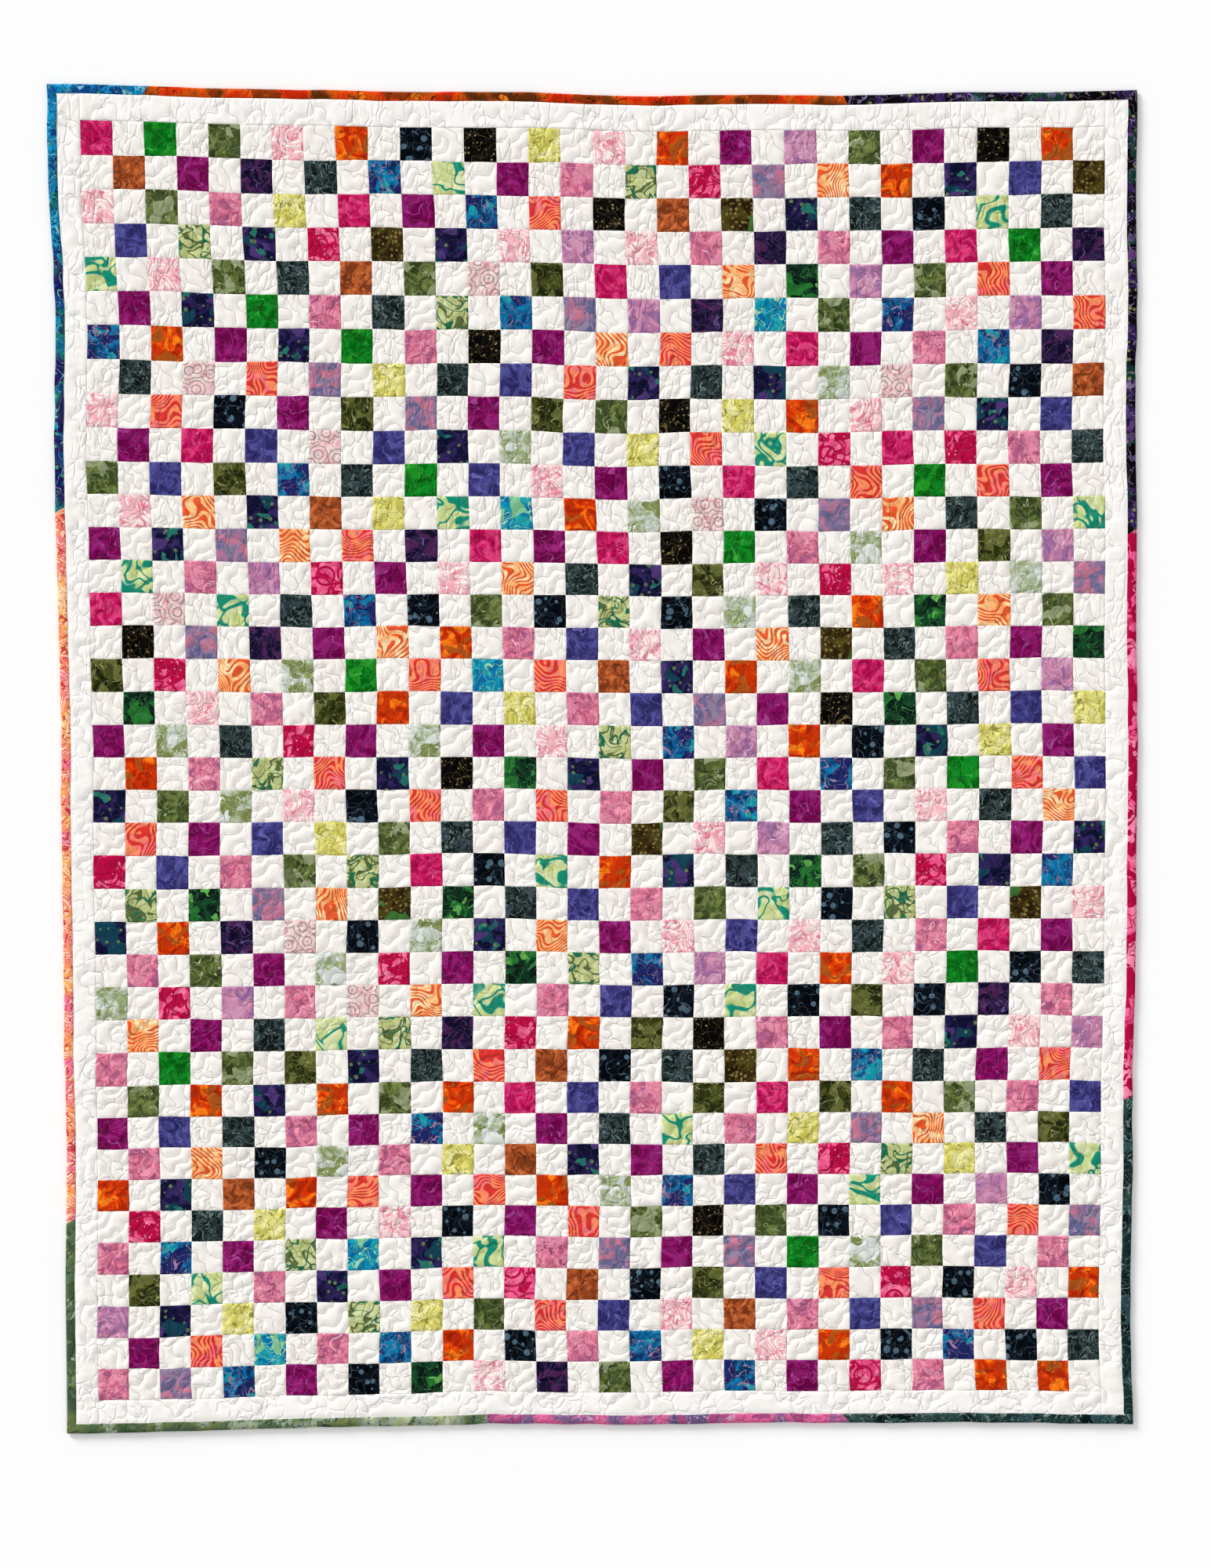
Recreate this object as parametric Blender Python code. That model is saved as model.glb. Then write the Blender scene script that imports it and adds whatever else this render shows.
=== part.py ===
"""A patchwork quilt laid flat, face up: a quilted centre panel, four white border strips and a pieced binding.

Metres, +Z up, +Y towards the quilt's top edge. The origin is under the middle of the quilt, on the
surface that it lies on.
"""

import random

import bmesh
import bpy
import numpy as np

# The quilt as it was sewn. A patch is a 1.5 inch square before quilting draws it in.
COLUMNS = 32
PATCH_WIDTH = 0.0377
# Rows from the top edge down, and the height of each: the quilt lies a little stretched towards its top.
ROW_BANDS = [(10, 0.0400), (19, 0.0386), (10, 0.0369)]
SIDE_BORDER = 0.0270
TOP_BORDER = 0.0310
BOTTOM_BORDER = 0.0275
BINDING_FACE = 0.0113

# Thicknesses: cloth and batting pressed together at the seams, and swelling between them.
SEAM_HEIGHT = 0.0044
BORDER_LIP = 0.0046
PATCH_PUFF = 0.0025
BORDER_PUFF = 0.0020
BROAD_SWELL = 0.0004

# The quilt's edge is pressed thin where the binding holds it.
EDGE_TOP = 0.0031
EDGE_BOTTOM = 0.0017
EDGE_REACH = 0.0040
STEP = 0.0002
GAP = 0.0003
JOIN_GAP = 0.0005
# Flat faces cut the corners of a curved edge, so the binding keeps a wider gap across it.
EDGE_GAP = 0.0005

# Where the corners lie on the floor, from a point near the middle.
CORNERS = {
    "top_left": (-0.6487, 0.8029),
    "top_right": (0.6491, 0.7955),
    "bottom_left": (-0.6244, -0.8029),
    "bottom_right": (0.6445, -0.7917),
}

# How each edge draws in from the straight line between its corners: the share of its length, from its left or
# its lower end, and the depth. Quilting pulls the edges in, and a minus sign is where one bellies out.
LEFT_DRAW = [
    (0.00, 0.0), (0.08, 0.0014), (0.13, 0.0028), (0.25, 0.0047), (0.37, 0.0047), (0.48, 0.0056),
    (0.60, 0.0056), (0.66, 0.0043), (0.71, 0.0012), (0.77, 0.0060), (0.83, 0.0066), (0.91, 0.0021), (1.00, 0.0),
]
RIGHT_DRAW = [
    (0.00, 0.0), (0.07, 0.0040), (0.13, 0.0024), (0.25, 0.0020), (0.30, -0.0005), (0.36, -0.0011),
    (0.45, -0.0035), (0.54, -0.0021), (0.66, -0.0016), (0.77, 0.0008), (0.83, -0.0007), (1.00, 0.0),
]
TOP_DRAW = [
    (0.00, 0.0), (0.10, 0.0021), (0.17, 0.0043), (0.25, 0.0065), (0.39, 0.0066), (0.46, 0.0077),
    (0.53, 0.0109), (0.60, 0.0087), (0.68, 0.0089), (0.75, 0.0075), (0.82, 0.0050), (0.89, 0.0036), (1.00, 0.0),
]
BOTTOM_DRAW = [
    (0.00, 0.0), (0.09, 0.0019), (0.16, 0.0038), (0.23, 0.0048), (0.31, 0.0068), (0.38, 0.0089),
    (0.45, 0.0062), (0.60, 0.0063), (0.75, 0.0056), (0.89, 0.0040), (0.97, 0.0022), (1.00, 0.0),
]

# The slanted joins of the binding, going round from the bottom left corner: the side, the distance along it,
# how far the join slants across the face, and the strip that starts there with its colour.
BINDING_JOINS = [
    ("bottom", 0.5065, -0.0030, "binding_bottom", (0.55, 0.13, 0.30)),
    ("bottom", 0.9380, -0.0100, "binding_bottom_right", (0.03, 0.07, 0.07)),
    ("right", 0.3880, -0.0045, "binding_right", (0.62, 0.05, 0.17)),
    ("right", 1.0600, -0.0060, "binding_top_right", (0.03, 0.02, 0.06)),
    ("top", 0.3427, -0.0050, "binding_top", (0.60, 0.10, 0.01)),
    ("top", 1.1665, 0.0058, "binding_top_left", (0.01, 0.16, 0.38)),
    ("left", 0.5000, -0.0070, "binding_left", (0.82, 0.32, 0.12)),
    ("left", 1.3335, -0.0055, "binding_bottom_left", (0.06, 0.10, 0.04)),
]
SIDE_ORDER = ["bottom", "right", "top", "left"]

# The binding's cross-section, from its inner edge round the quilt's edge and back: the distance in from the
# outer edge, and the height. Its last points line the fold that grips the pressed edge.
BINDING_PROFILE = [
    (BINDING_FACE, 0.0),
    (0.0011, 0.0),
    (0.0, 0.0014),
    (0.0, 0.0032),
    (0.0012, 0.0046),
    (0.0055, 0.0052),
    (0.0102, 0.0050),
    (BINDING_FACE, 0.0044),
    (BINDING_FACE, EDGE_TOP + GAP),
    (EDGE_REACH - EDGE_GAP, EDGE_TOP + GAP),
    (EDGE_REACH - EDGE_GAP, EDGE_BOTTOM - GAP),
    (BINDING_FACE, EDGE_BOTTOM - GAP),
]

WHITE_COTTON = (0.88, 0.86, 0.83)
COTTON_ROUGHNESS = 0.9

ROW_HEIGHTS = [height for count, height in ROW_BANDS for _ in range(count)]
SIDE_INSET = BINDING_FACE + SIDE_BORDER
TOP_INSET = BINDING_FACE + TOP_BORDER
BOTTOM_INSET = BINDING_FACE + BOTTOM_BORDER
COLUMN_SEAMS = SIDE_INSET + PATCH_WIDTH * np.arange(COLUMNS + 1)
ROW_SEAMS = BOTTOM_INSET + np.concatenate([[0.0], np.cumsum(ROW_HEIGHTS[::-1])])
SEWN_WIDTH = COLUMN_SEAMS[-1] + SIDE_INSET
SEWN_HEIGHT = ROW_SEAMS[-1] + TOP_INSET


def drawn_in(table, share):
    """How far an edge draws in at a share of its length, read from its table and rounded at the rows."""
    places, depths = zip(*table)
    nearby = [np.interp(share + shift, places, depths) for shift in (-0.03, -0.015, 0.0, 0.015, 0.03)]
    return np.mean(nearby, axis=0)


def seam_wander(across, up):
    """The slow sideways wander of the sewn lines."""
    return 0.0006 * np.sin(across / 0.041 + 1.8 * np.sin(up / 0.083)) + 0.0003 * np.sin(up / 0.036 + 1.1)


def laid_roughly(across, up):
    """Where a sewn point lies, given its distances from the left and bottom edges, before centring."""
    right = across / SEWN_WIDTH
    top = up / SEWN_HEIGHT
    x = (
        (1 - right) * (1 - top) * CORNERS["bottom_left"][0]
        + right * (1 - top) * CORNERS["bottom_right"][0]
        + (1 - right) * top * CORNERS["top_left"][0]
        + right * top * CORNERS["top_right"][0]
        + (1 - right) * drawn_in(LEFT_DRAW, top)
        - right * drawn_in(RIGHT_DRAW, top)
        + seam_wander(up, across)
    )
    y = (
        (1 - right) * (1 - top) * CORNERS["bottom_left"][1]
        + right * (1 - top) * CORNERS["bottom_right"][1]
        + (1 - right) * top * CORNERS["top_left"][1]
        + right * top * CORNERS["top_right"][1]
        + (1 - top) * drawn_in(BOTTOM_DRAW, right)
        - top * drawn_in(TOP_DRAW, right)
        + seam_wander(across, up)
    )
    return x, y


def middle_of_outline():
    """The middle of the laid quilt's outline."""
    share = np.linspace(0.0, 1.0, 400)
    low, high = np.zeros_like(share), np.ones_like(share)
    across = SEWN_WIDTH * np.concatenate([share, high, share, low])
    up = SEWN_HEIGHT * np.concatenate([low, share, high, share])
    x, y = laid_roughly(across, up)
    return (x.min() + x.max()) / 2, (y.min() + y.max()) / 2


MIDDLE = middle_of_outline()


def laid(across, up):
    """Where a sewn point lies, with the middle of the outline at the origin."""
    x, y = laid_roughly(across, up)
    return x - MIDDLE[0], y - MIDDLE[1]


def swell(across, up):
    """The slow rise and fall of the whole quilt's surface."""
    return BROAD_SWELL * (np.sin(across / 0.067 + 2.0 * np.sin(up / 0.11)) + np.sin(up / 0.053 + 0.7))


def cotton(name, colour):
    """A plain cotton material."""
    material = bpy.data.materials.new(name + "_cotton")
    material.use_nodes = True
    shader = material.node_tree.nodes["Principled BSDF"]
    shader.inputs["Base Color"].default_value = (*colour, 1.0)
    shader.inputs["Roughness"].default_value = COTTON_ROUGHNESS
    shader.inputs["Metallic"].default_value = 0.0
    return material


def add_piece(name, body, colour, quilt):
    """Makes an object of a bmesh body, with its origin in its own middle, and parents it to the quilt."""
    bmesh.ops.recalc_face_normals(body, faces=body.faces)
    points = np.array([vertex.co for vertex in body.verts])
    middle = (points.min(axis=0) + points.max(axis=0)) / 2
    middle[2] = 0.0
    bmesh.ops.translate(body, vec=-middle, verts=body.verts)
    mesh = bpy.data.meshes.new(name)
    body.to_mesh(mesh)
    body.free()
    mesh.shade_smooth()
    mesh.set_sharp_from_angle(angle=0.7)
    mesh.materials.append(cotton(name, colour))
    piece = bpy.data.objects.new(name, mesh)
    piece.location = middle
    piece.parent = quilt
    bpy.context.scene.collection.objects.link(piece)
    return piece


def body_of(points, faces):
    """A bmesh body from lists of points and faces."""
    body = bmesh.new()
    vertices = [body.verts.new(point) for point in points]
    for face in faces:
        body.faces.new([vertices[index] for index in face])
    body.normal_update()
    return body


def slab(across, up, top, bottom):
    """A closed body between two height grids, over lines across and up the sewn quilt."""
    columns, rows = len(across), len(up)
    x, y = laid(*np.meshgrid(across, up))
    upper = np.stack([x, y, top], axis=-1).reshape(-1, 3)
    lower = np.stack([x, y, bottom], axis=-1).reshape(-1, 3)
    under = columns * rows
    faces = []
    for row in range(rows - 1):
        for column in range(columns - 1):
            first = row * columns + column
            quad = [first, first + 1, first + columns + 1, first + columns]
            faces.append(quad)
            faces.append([under + index for index in reversed(quad)])
    rim = [column for column in range(columns)]
    rim += [row * columns + columns - 1 for row in range(1, rows)]
    rim += [(rows - 1) * columns + column for column in range(columns - 2, -1, -1)]
    rim += [row * columns for row in range(rows - 2, 0, -1)]
    for index, following in zip(rim, rim[1:] + rim[:1]):
        faces.append([index, under + index, under + following, following])
    return body_of(np.concatenate([upper, lower]), faces)


def join_level_faces(body, height):
    """Joins the faces that lie level at one height into a single face."""
    level = [face for face in body.faces if all(abs(vertex.co.z - height) < 1e-6 for vertex in face.verts)]
    bmesh.ops.dissolve_faces(body, faces=level)


def patchwork(quilt):
    """The centre panel: seams low, and the middle of each patch raised unevenly, as its batting swells."""
    across = COLUMN_SEAMS.copy()
    up = ROW_SEAMS.copy()
    across[[0, -1]] += GAP / 2, -GAP / 2
    up[[0, -1]] += GAP / 2, -GAP / 2
    grid_across, grid_up = np.meshgrid(across, up)
    top = SEAM_HEIGHT + swell(grid_across, grid_up)
    body = slab(across, up, top, np.zeros_like(top))
    join_level_faces(body, 0.0)
    patches = [face for face in body.faces if face.normal.z > 0.9]
    uneven = random.Random(7)
    for vertex in bmesh.ops.poke(body, faces=patches)["verts"]:
        vertex.co.z += PATCH_PUFF * uneven.uniform(0.6, 1.4)
    add_piece("patchwork", body, WHITE_COTTON, quilt)


def border_lines(width):
    """Distances in from the outer edge where a border's section changes, and whether each is pressed thin."""
    distances = [
        EDGE_REACH,
        BINDING_FACE + EDGE_GAP - STEP,
        BINDING_FACE + EDGE_GAP,
        BINDING_FACE + 0.32 * width,
        BINDING_FACE + 0.68 * width,
        BINDING_FACE + width - GAP / 2,
    ]
    return np.array(distances), np.array([True, True, False, False, False, False])


def border_heights(across, up, inset, thin, seed):
    """Top and bottom heights of a border: its lip, its puffs and the edge pressed thin for the binding."""
    puff = np.interp(inset, [0.0, 0.3, 0.7, 1.0], [0.0, 1.0, 1.0, 0.0])
    uneven = random.Random(seed)
    roll = np.array([[uneven.uniform(0.5, 1.5) for _ in line] for line in puff])
    lip = np.interp(inset, [0.0, 1.0], [BORDER_LIP, SEAM_HEIGHT])
    top = lip + puff * roll * BORDER_PUFF + np.minimum(inset * 3, 1.0) * swell(across, up)
    return np.where(thin, EDGE_TOP, top), np.where(thin, EDGE_BOTTOM, 0.0)


def border(name, across, up, inset, thin, seed, quilt):
    """One border strip over its lines, with its level undersides and pressed edge joined into single faces."""
    top, bottom = border_heights(*np.meshgrid(across, up), inset, thin, seed)
    body = slab(across, up, top, bottom)
    for height in (0.0, EDGE_BOTTOM, EDGE_TOP):
        join_level_faces(body, height)
    add_piece(name, body, WHITE_COTTON, quilt)


def side_border(name, mirrored, seed, quilt):
    """A side strip, which runs the whole height: its outer edge and both its ends go into the binding."""
    lines, thin_line = border_lines(SIDE_BORDER)
    share = np.clip((lines - BINDING_FACE - EDGE_GAP) / (SIDE_BORDER - EDGE_GAP - GAP / 2), 0.0, 1.0)
    ends = np.array([EDGE_REACH, BINDING_FACE + EDGE_GAP - STEP, BINDING_FACE + EDGE_GAP])
    up = np.concatenate([
        ends,
        [BINDING_FACE + BOTTOM_BORDER / 2],
        ROW_SEAMS,
        [SEWN_HEIGHT - BINDING_FACE - TOP_BORDER / 2],
        SEWN_HEIGHT - ends[::-1],
    ])
    thin_end = np.zeros(len(up), bool)
    thin_end[[0, 1, -2, -1]] = True
    across = lines
    if mirrored:
        across, thin_line, share = SEWN_WIDTH - lines[::-1], thin_line[::-1], share[::-1]
    inset = np.tile(share, (len(up), 1))
    inset[[0, 1, 2, -3, -2, -1]] = 0.0
    border(name, across, up, inset, thin_line[None, :] | thin_end[:, None], seed, quilt)


def end_border(name, width, mirrored, seed, quilt):
    """A top or bottom strip, butted between the side strips."""
    lines, thin_line = border_lines(width)
    share = np.clip((lines - BINDING_FACE - EDGE_GAP) / (width - EDGE_GAP - GAP / 2), 0.0, 1.0)
    across = COLUMN_SEAMS.copy()
    across[[0, -1]] += GAP / 2, -GAP / 2
    up = lines
    if mirrored:
        up, thin_line, share = SEWN_HEIGHT - lines[::-1], thin_line[::-1], share[::-1]
    inset = np.tile(share[:, None], (1, len(across)))
    thin = np.tile(thin_line[:, None], (1, len(across)))
    border(name, across, up, inset, thin, seed, quilt)


def side_length(side):
    """The sewn length of a side."""
    return SEWN_WIDTH if side in ("bottom", "top") else SEWN_HEIGHT


def edge_point(side, along, inward):
    """Distances from the left and bottom edges of a point by a side, which is walked anticlockwise."""
    places = {
        "bottom": (along, inward),
        "right": (SEWN_WIDTH - inward, along),
        "top": (SEWN_WIDTH - along, SEWN_HEIGHT - inward),
        "left": (inward, SEWN_HEIGHT - along),
    }
    return places[side]


def side_stations(side):
    """Distances along a side where the borders have their section lines, so that the binding follows them."""
    if side in ("bottom", "top"):
        lines = COLUMN_SEAMS
    else:
        ends = [BINDING_FACE + BOTTOM_BORDER / 2, SEWN_HEIGHT - BINDING_FACE - TOP_BORDER / 2]
        lines = np.sort(np.concatenate([ROW_SEAMS, ends]))
    return lines if side in ("bottom", "right") else side_length(side) - lines[::-1]


def binding_rings(start, end):
    """The sections of a binding strip from one join to the next, each as points round its profile."""
    inward, height = np.array(BINDING_PROFILE).T
    (side, place, slant), (last_side, last_place, last_slant) = start, end
    skew = inward / BINDING_FACE - 0.5
    clear = 0.010
    rings = [edge_point(side, place + JOIN_GAP / 2 + slant * skew, inward)]
    low = place + clear
    while side != last_side:
        stations = side_stations(side)
        rings += [
            edge_point(side, np.full_like(inward, station), inward)
            for station in stations[(stations > low) & (stations < side_length(side) - BINDING_FACE)]
        ]
        rings.append(edge_point(side, side_length(side) - inward, inward))
        side = SIDE_ORDER[(SIDE_ORDER.index(side) + 1) % len(SIDE_ORDER)]
        low = BINDING_FACE
    stations = side_stations(side)
    rings += [
        edge_point(side, np.full_like(inward, station), inward)
        for station in stations[(stations > low) & (stations < last_place - clear)]
    ]
    rings.append(edge_point(side, last_place - JOIN_GAP / 2 + last_slant * skew, inward))
    return [np.column_stack([*laid(across, up), height]) for across, up in rings]


def binding_strip(name, start, end, colour, quilt):
    """A strip of binding folded over the quilt's edge, mitred where it turns a corner."""
    rings = binding_rings(start, end)
    around = len(BINDING_PROFILE)
    faces = [list(range(around)), [around * (len(rings) - 1) + index for index in range(around)][::-1]]
    for ring in range(len(rings) - 1):
        for index in range(around):
            first = ring * around + index
            second = ring * around + (index + 1) % around
            faces.append([first, second, second + around, first + around])
    add_piece(name, body_of(np.concatenate(rings), faces), colour, quilt)


def main():
    for old in list(bpy.data.objects):
        bpy.data.objects.remove(old)
    quilt = bpy.data.objects.new("quilt", None)
    bpy.context.scene.collection.objects.link(quilt)
    patchwork(quilt)
    side_border("border_left", False, 11, quilt)
    side_border("border_right", True, 12, quilt)
    end_border("border_top", TOP_BORDER, True, 13, quilt)
    end_border("border_bottom", BOTTOM_BORDER, False, 14, quilt)
    for join, following in zip(BINDING_JOINS, BINDING_JOINS[1:] + BINDING_JOINS[:1]):
        binding_strip(join[3], join[:3], following[:3], join[4], quilt)


main()
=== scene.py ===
# %% [markdown]
# # A batik patchwork quilt, laid flat
#
# The object is a throw quilt: 39 rows of 32 small squares, white cotton and batik cotton in turn, inside
# white border strips and a batik binding. A long wandering line of quilting stitches holds its three layers
# together and makes the cloth swell into soft puffs.
#
# Each cell below explains one piece or finish and then makes it. The fixed frame comes first: the packed
# model gives the real sizes, and its box is kept to print beside the finished quilt's.

import math
import random

import bpy
import numpy as np
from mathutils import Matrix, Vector
from mathutils.bvhtree import BVHTree


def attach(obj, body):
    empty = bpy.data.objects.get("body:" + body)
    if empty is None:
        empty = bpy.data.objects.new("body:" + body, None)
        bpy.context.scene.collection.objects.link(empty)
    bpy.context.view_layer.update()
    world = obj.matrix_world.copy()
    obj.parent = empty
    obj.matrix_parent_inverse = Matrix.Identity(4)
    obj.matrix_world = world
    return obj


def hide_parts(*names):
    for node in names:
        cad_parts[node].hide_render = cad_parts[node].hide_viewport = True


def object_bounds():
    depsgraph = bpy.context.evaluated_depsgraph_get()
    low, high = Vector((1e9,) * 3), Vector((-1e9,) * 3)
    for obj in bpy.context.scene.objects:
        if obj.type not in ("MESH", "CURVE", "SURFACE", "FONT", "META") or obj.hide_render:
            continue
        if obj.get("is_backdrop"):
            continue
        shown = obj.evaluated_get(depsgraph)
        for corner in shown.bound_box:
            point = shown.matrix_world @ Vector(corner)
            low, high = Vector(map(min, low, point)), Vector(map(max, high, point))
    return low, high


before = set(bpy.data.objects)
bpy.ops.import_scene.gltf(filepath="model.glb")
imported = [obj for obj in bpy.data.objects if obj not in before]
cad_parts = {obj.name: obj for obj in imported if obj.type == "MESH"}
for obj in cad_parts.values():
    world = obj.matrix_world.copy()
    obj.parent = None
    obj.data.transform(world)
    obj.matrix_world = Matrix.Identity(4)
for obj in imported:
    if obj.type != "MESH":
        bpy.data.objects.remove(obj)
cad_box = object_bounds()
print("frame nodes:", len(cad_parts), "size:", [round(high - low, 4) for low, high in zip(*cad_box)])

# %% [markdown]
# ## The quilt as it was sewn
#
# Everything is laid out first on the quilt as it was sewn, with straight rows and columns, in metres from
# its bottom left corner. A patch is a 1.5 inch square that quilting has drawn in a little. The rows lie
# stretched towards the top, so their height comes from a short table.

# %% Sewn sizes
COLUMNS = 32
PATCH_WIDTH = 0.0377
ROW_BANDS = [(10, 0.0400), (19, 0.0386), (10, 0.0369)]
SIDE_BORDER = 0.0270
TOP_BORDER = 0.0310
BOTTOM_BORDER = 0.0275
BINDING_FACE = 0.0113

ROW_HEIGHTS = [height for count, height in ROW_BANDS for _ in range(count)]
ROWS = len(ROW_HEIGHTS)
SIDE_INSET = BINDING_FACE + SIDE_BORDER
COLUMN_SEAMS = SIDE_INSET + PATCH_WIDTH * np.arange(COLUMNS + 1)
ROW_SEAMS = BINDING_FACE + BOTTOM_BORDER + np.concatenate([[0.0], np.cumsum(ROW_HEIGHTS[::-1])])
SEWN_WIDTH = COLUMN_SEAMS[-1] + SIDE_INSET
SEWN_HEIGHT = ROW_SEAMS[-1] + TOP_BORDER + BINDING_FACE
print("sewn size:", round(SEWN_WIDTH, 4), "by", round(SEWN_HEIGHT, 4))

# %% [markdown]
# ## How it lies
#
# No quilt lies square. Its corners are where the cloth happens to end, and each edge draws in between them.
# A patch of cloth stretched between four curved edges is a Coons patch: the corners are blended over the
# whole quilt, and each edge's own bend is added and fades away towards the opposite edge. The corners and
# bends are the same as in the frame, so the dressed quilt lies exactly over it.

# %% Corners and edges
CORNERS = {
    "top_left": (-0.6487, 0.8029),
    "top_right": (0.6491, 0.7955),
    "bottom_left": (-0.6244, -0.8029),
    "bottom_right": (0.6445, -0.7917),
}
LEFT_DRAW = [
    (0.00, 0.0), (0.08, 0.0014), (0.13, 0.0028), (0.25, 0.0047), (0.37, 0.0047), (0.48, 0.0056),
    (0.60, 0.0056), (0.66, 0.0043), (0.71, 0.0012), (0.77, 0.0060), (0.83, 0.0066), (0.91, 0.0021),
    (1.00, 0.0),
]
RIGHT_DRAW = [
    (0.00, 0.0), (0.07, 0.0040), (0.13, 0.0024), (0.25, 0.0020), (0.30, -0.0005), (0.36, -0.0011),
    (0.45, -0.0035), (0.54, -0.0021), (0.66, -0.0016), (0.77, 0.0008), (0.83, -0.0007), (1.00, 0.0),
]
TOP_DRAW = [
    (0.00, 0.0), (0.10, 0.0021), (0.17, 0.0043), (0.25, 0.0065), (0.39, 0.0066), (0.46, 0.0077),
    (0.53, 0.0109), (0.60, 0.0087), (0.68, 0.0089), (0.75, 0.0075), (0.82, 0.0050), (0.89, 0.0036),
    (1.00, 0.0),
]
BOTTOM_DRAW = [
    (0.00, 0.0), (0.09, 0.0019), (0.16, 0.0038), (0.23, 0.0048), (0.31, 0.0068), (0.38, 0.0089),
    (0.45, 0.0062), (0.60, 0.0063), (0.75, 0.0056), (0.89, 0.0040), (0.97, 0.0022), (1.00, 0.0),
]


widest_draw = max(depth for table in (LEFT_DRAW, RIGHT_DRAW, TOP_DRAW, BOTTOM_DRAW) for _, depth in table)
print("the edges draw in by up to", widest_draw, "m")

# %% [markdown]
# ## From the sewn quilt to the laid one
#
# One function takes every sewn point to where it lies. A table of bends has corners at its rows, so it is
# read at five places close together and averaged, which rounds them. The seams wander slowly sideways as
# well, because nobody cuts and sews quite straight. The frame's origin is the middle of the outline, so that
# middle is worked out too.

# %% Where a sewn point lies
ROUNDING_SHIFTS = (-0.03, -0.015, 0.0, 0.015, 0.03)
SLOW_WANDER = 0.0006
SLOW_LENGTH = 0.041
TURN_LENGTH = 0.083
QUICK_WANDER = 0.0003
QUICK_LENGTH = 0.036


def drawn_in(table, share):
    """How far an edge draws in at a share of its length, rounded at the table's rows."""
    places, depths = zip(*table)
    nearby = [np.interp(share + shift, places, depths) for shift in ROUNDING_SHIFTS]
    return np.mean(nearby, axis=0)


def seam_wander(across, up):
    """The slow sideways wander of the sewn lines."""
    slow = SLOW_WANDER * np.sin(across / SLOW_LENGTH + 1.8 * np.sin(up / TURN_LENGTH))
    return slow + QUICK_WANDER * np.sin(up / QUICK_LENGTH + 1.1)


def corner_blend(right, top, axis):
    """The four corners blended at shares of the width and the height."""
    return (
        (1 - right) * (1 - top) * CORNERS["bottom_left"][axis]
        + right * (1 - top) * CORNERS["bottom_right"][axis]
        + (1 - right) * top * CORNERS["top_left"][axis]
        + right * top * CORNERS["top_right"][axis]
    )


def laid_roughly(across, up):
    """Where a sewn point lies, before the quilt is centred."""
    right = across / SEWN_WIDTH
    top = up / SEWN_HEIGHT
    drawn_right = (1 - right) * drawn_in(LEFT_DRAW, top) - right * drawn_in(RIGHT_DRAW, top)
    drawn_up = (1 - top) * drawn_in(BOTTOM_DRAW, right) - top * drawn_in(TOP_DRAW, right)
    x = corner_blend(right, top, 0) + drawn_right + seam_wander(up, across)
    y = corner_blend(right, top, 1) + drawn_up + seam_wander(across, up)
    return x, y


def middle_of_outline():
    """The middle of the laid quilt's outline, which is the frame's origin."""
    share = np.linspace(0.0, 1.0, 400)
    low, high = np.zeros_like(share), np.ones_like(share)
    across = SEWN_WIDTH * np.concatenate([share, high, share, low])
    up = SEWN_HEIGHT * np.concatenate([low, share, high, share])
    x, y = laid_roughly(across, up)
    return (x.min() + x.max()) / 2, (y.min() + y.max()) / 2


MIDDLE = middle_of_outline()
print("middle of the outline:", [round(float(value), 5) for value in MIDDLE])

# %% [markdown]
# ## Small unevenness
#
# Cloth that has been quilted and washed is never quite even. A cloud of smooth random values gives every
# small wander: random numbers on a coarse grid, eased from one grid point to the next. It is worked out with
# numpy for all the points at once, which is far quicker than one call for each point.

# %% Smooth random values and the seams' pucker
CLOUD_CELLS = 256
CLOUD_START = 40.0


def cloud(across, up, size_across, size_up, seed):
    """Smooth random values from 0 to 1 that change over the given distances."""
    values = np.random.default_rng(seed).random((CLOUD_CELLS, CLOUD_CELLS))
    column, row = across / size_across + CLOUD_START, up / size_up + CLOUD_START
    left, low = np.floor(column).astype(int), np.floor(row).astype(int)
    ease_right, ease_up = column - left, row - low
    ease_right = ease_right * ease_right * (3 - 2 * ease_right)
    ease_up = ease_up * ease_up * (3 - 2 * ease_up)
    corners = [values[(low + j) % CLOUD_CELLS, (left + i) % CLOUD_CELLS] for j in (0, 1) for i in (0, 1)]
    lower = corners[0] * (1 - ease_right) + corners[1] * ease_right
    upper = corners[2] * (1 - ease_right) + corners[3] * ease_right
    return lower * (1 - ease_up) + upper * ease_up


PUCKER = 0.0015
PUCKER_LONG = 0.034
PUCKER_SHORT = 0.030
PUCKER_SEEDS = (1, 2)


def laid(across, up):
    """Where a sewn point lies, with the small pucker that quilting gives its seams."""
    x, y = laid_roughly(across, up)
    sideways = cloud(across, up, PUCKER_LONG, PUCKER_SHORT, PUCKER_SEEDS[0]) - 0.5
    upwards = cloud(across, up, PUCKER_SHORT, PUCKER_LONG, PUCKER_SEEDS[1]) - 0.5
    return x - MIDDLE[0] + PUCKER * sideways, y - MIDDLE[1] + PUCKER * upwards


laid_middle = laid(np.array([SEWN_WIDTH / 2]), np.array([SEWN_HEIGHT / 2]))
print("the middle of the quilt lies at:", [round(float(value[0]), 4) for value in laid_middle])

# %% [markdown]
# ## The quilting line
#
# Free-motion quilting is one unbroken line that wanders over the whole quilt and never crosses itself. A line
# like that runs round the outside of a tree: a random tree is grown on a coarse grid of points, and the path
# that hugs it all the way round visits every point of a grid twice as fine. The grid stands aslant and is
# bent a little, so that the line never runs along the seams.

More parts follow.
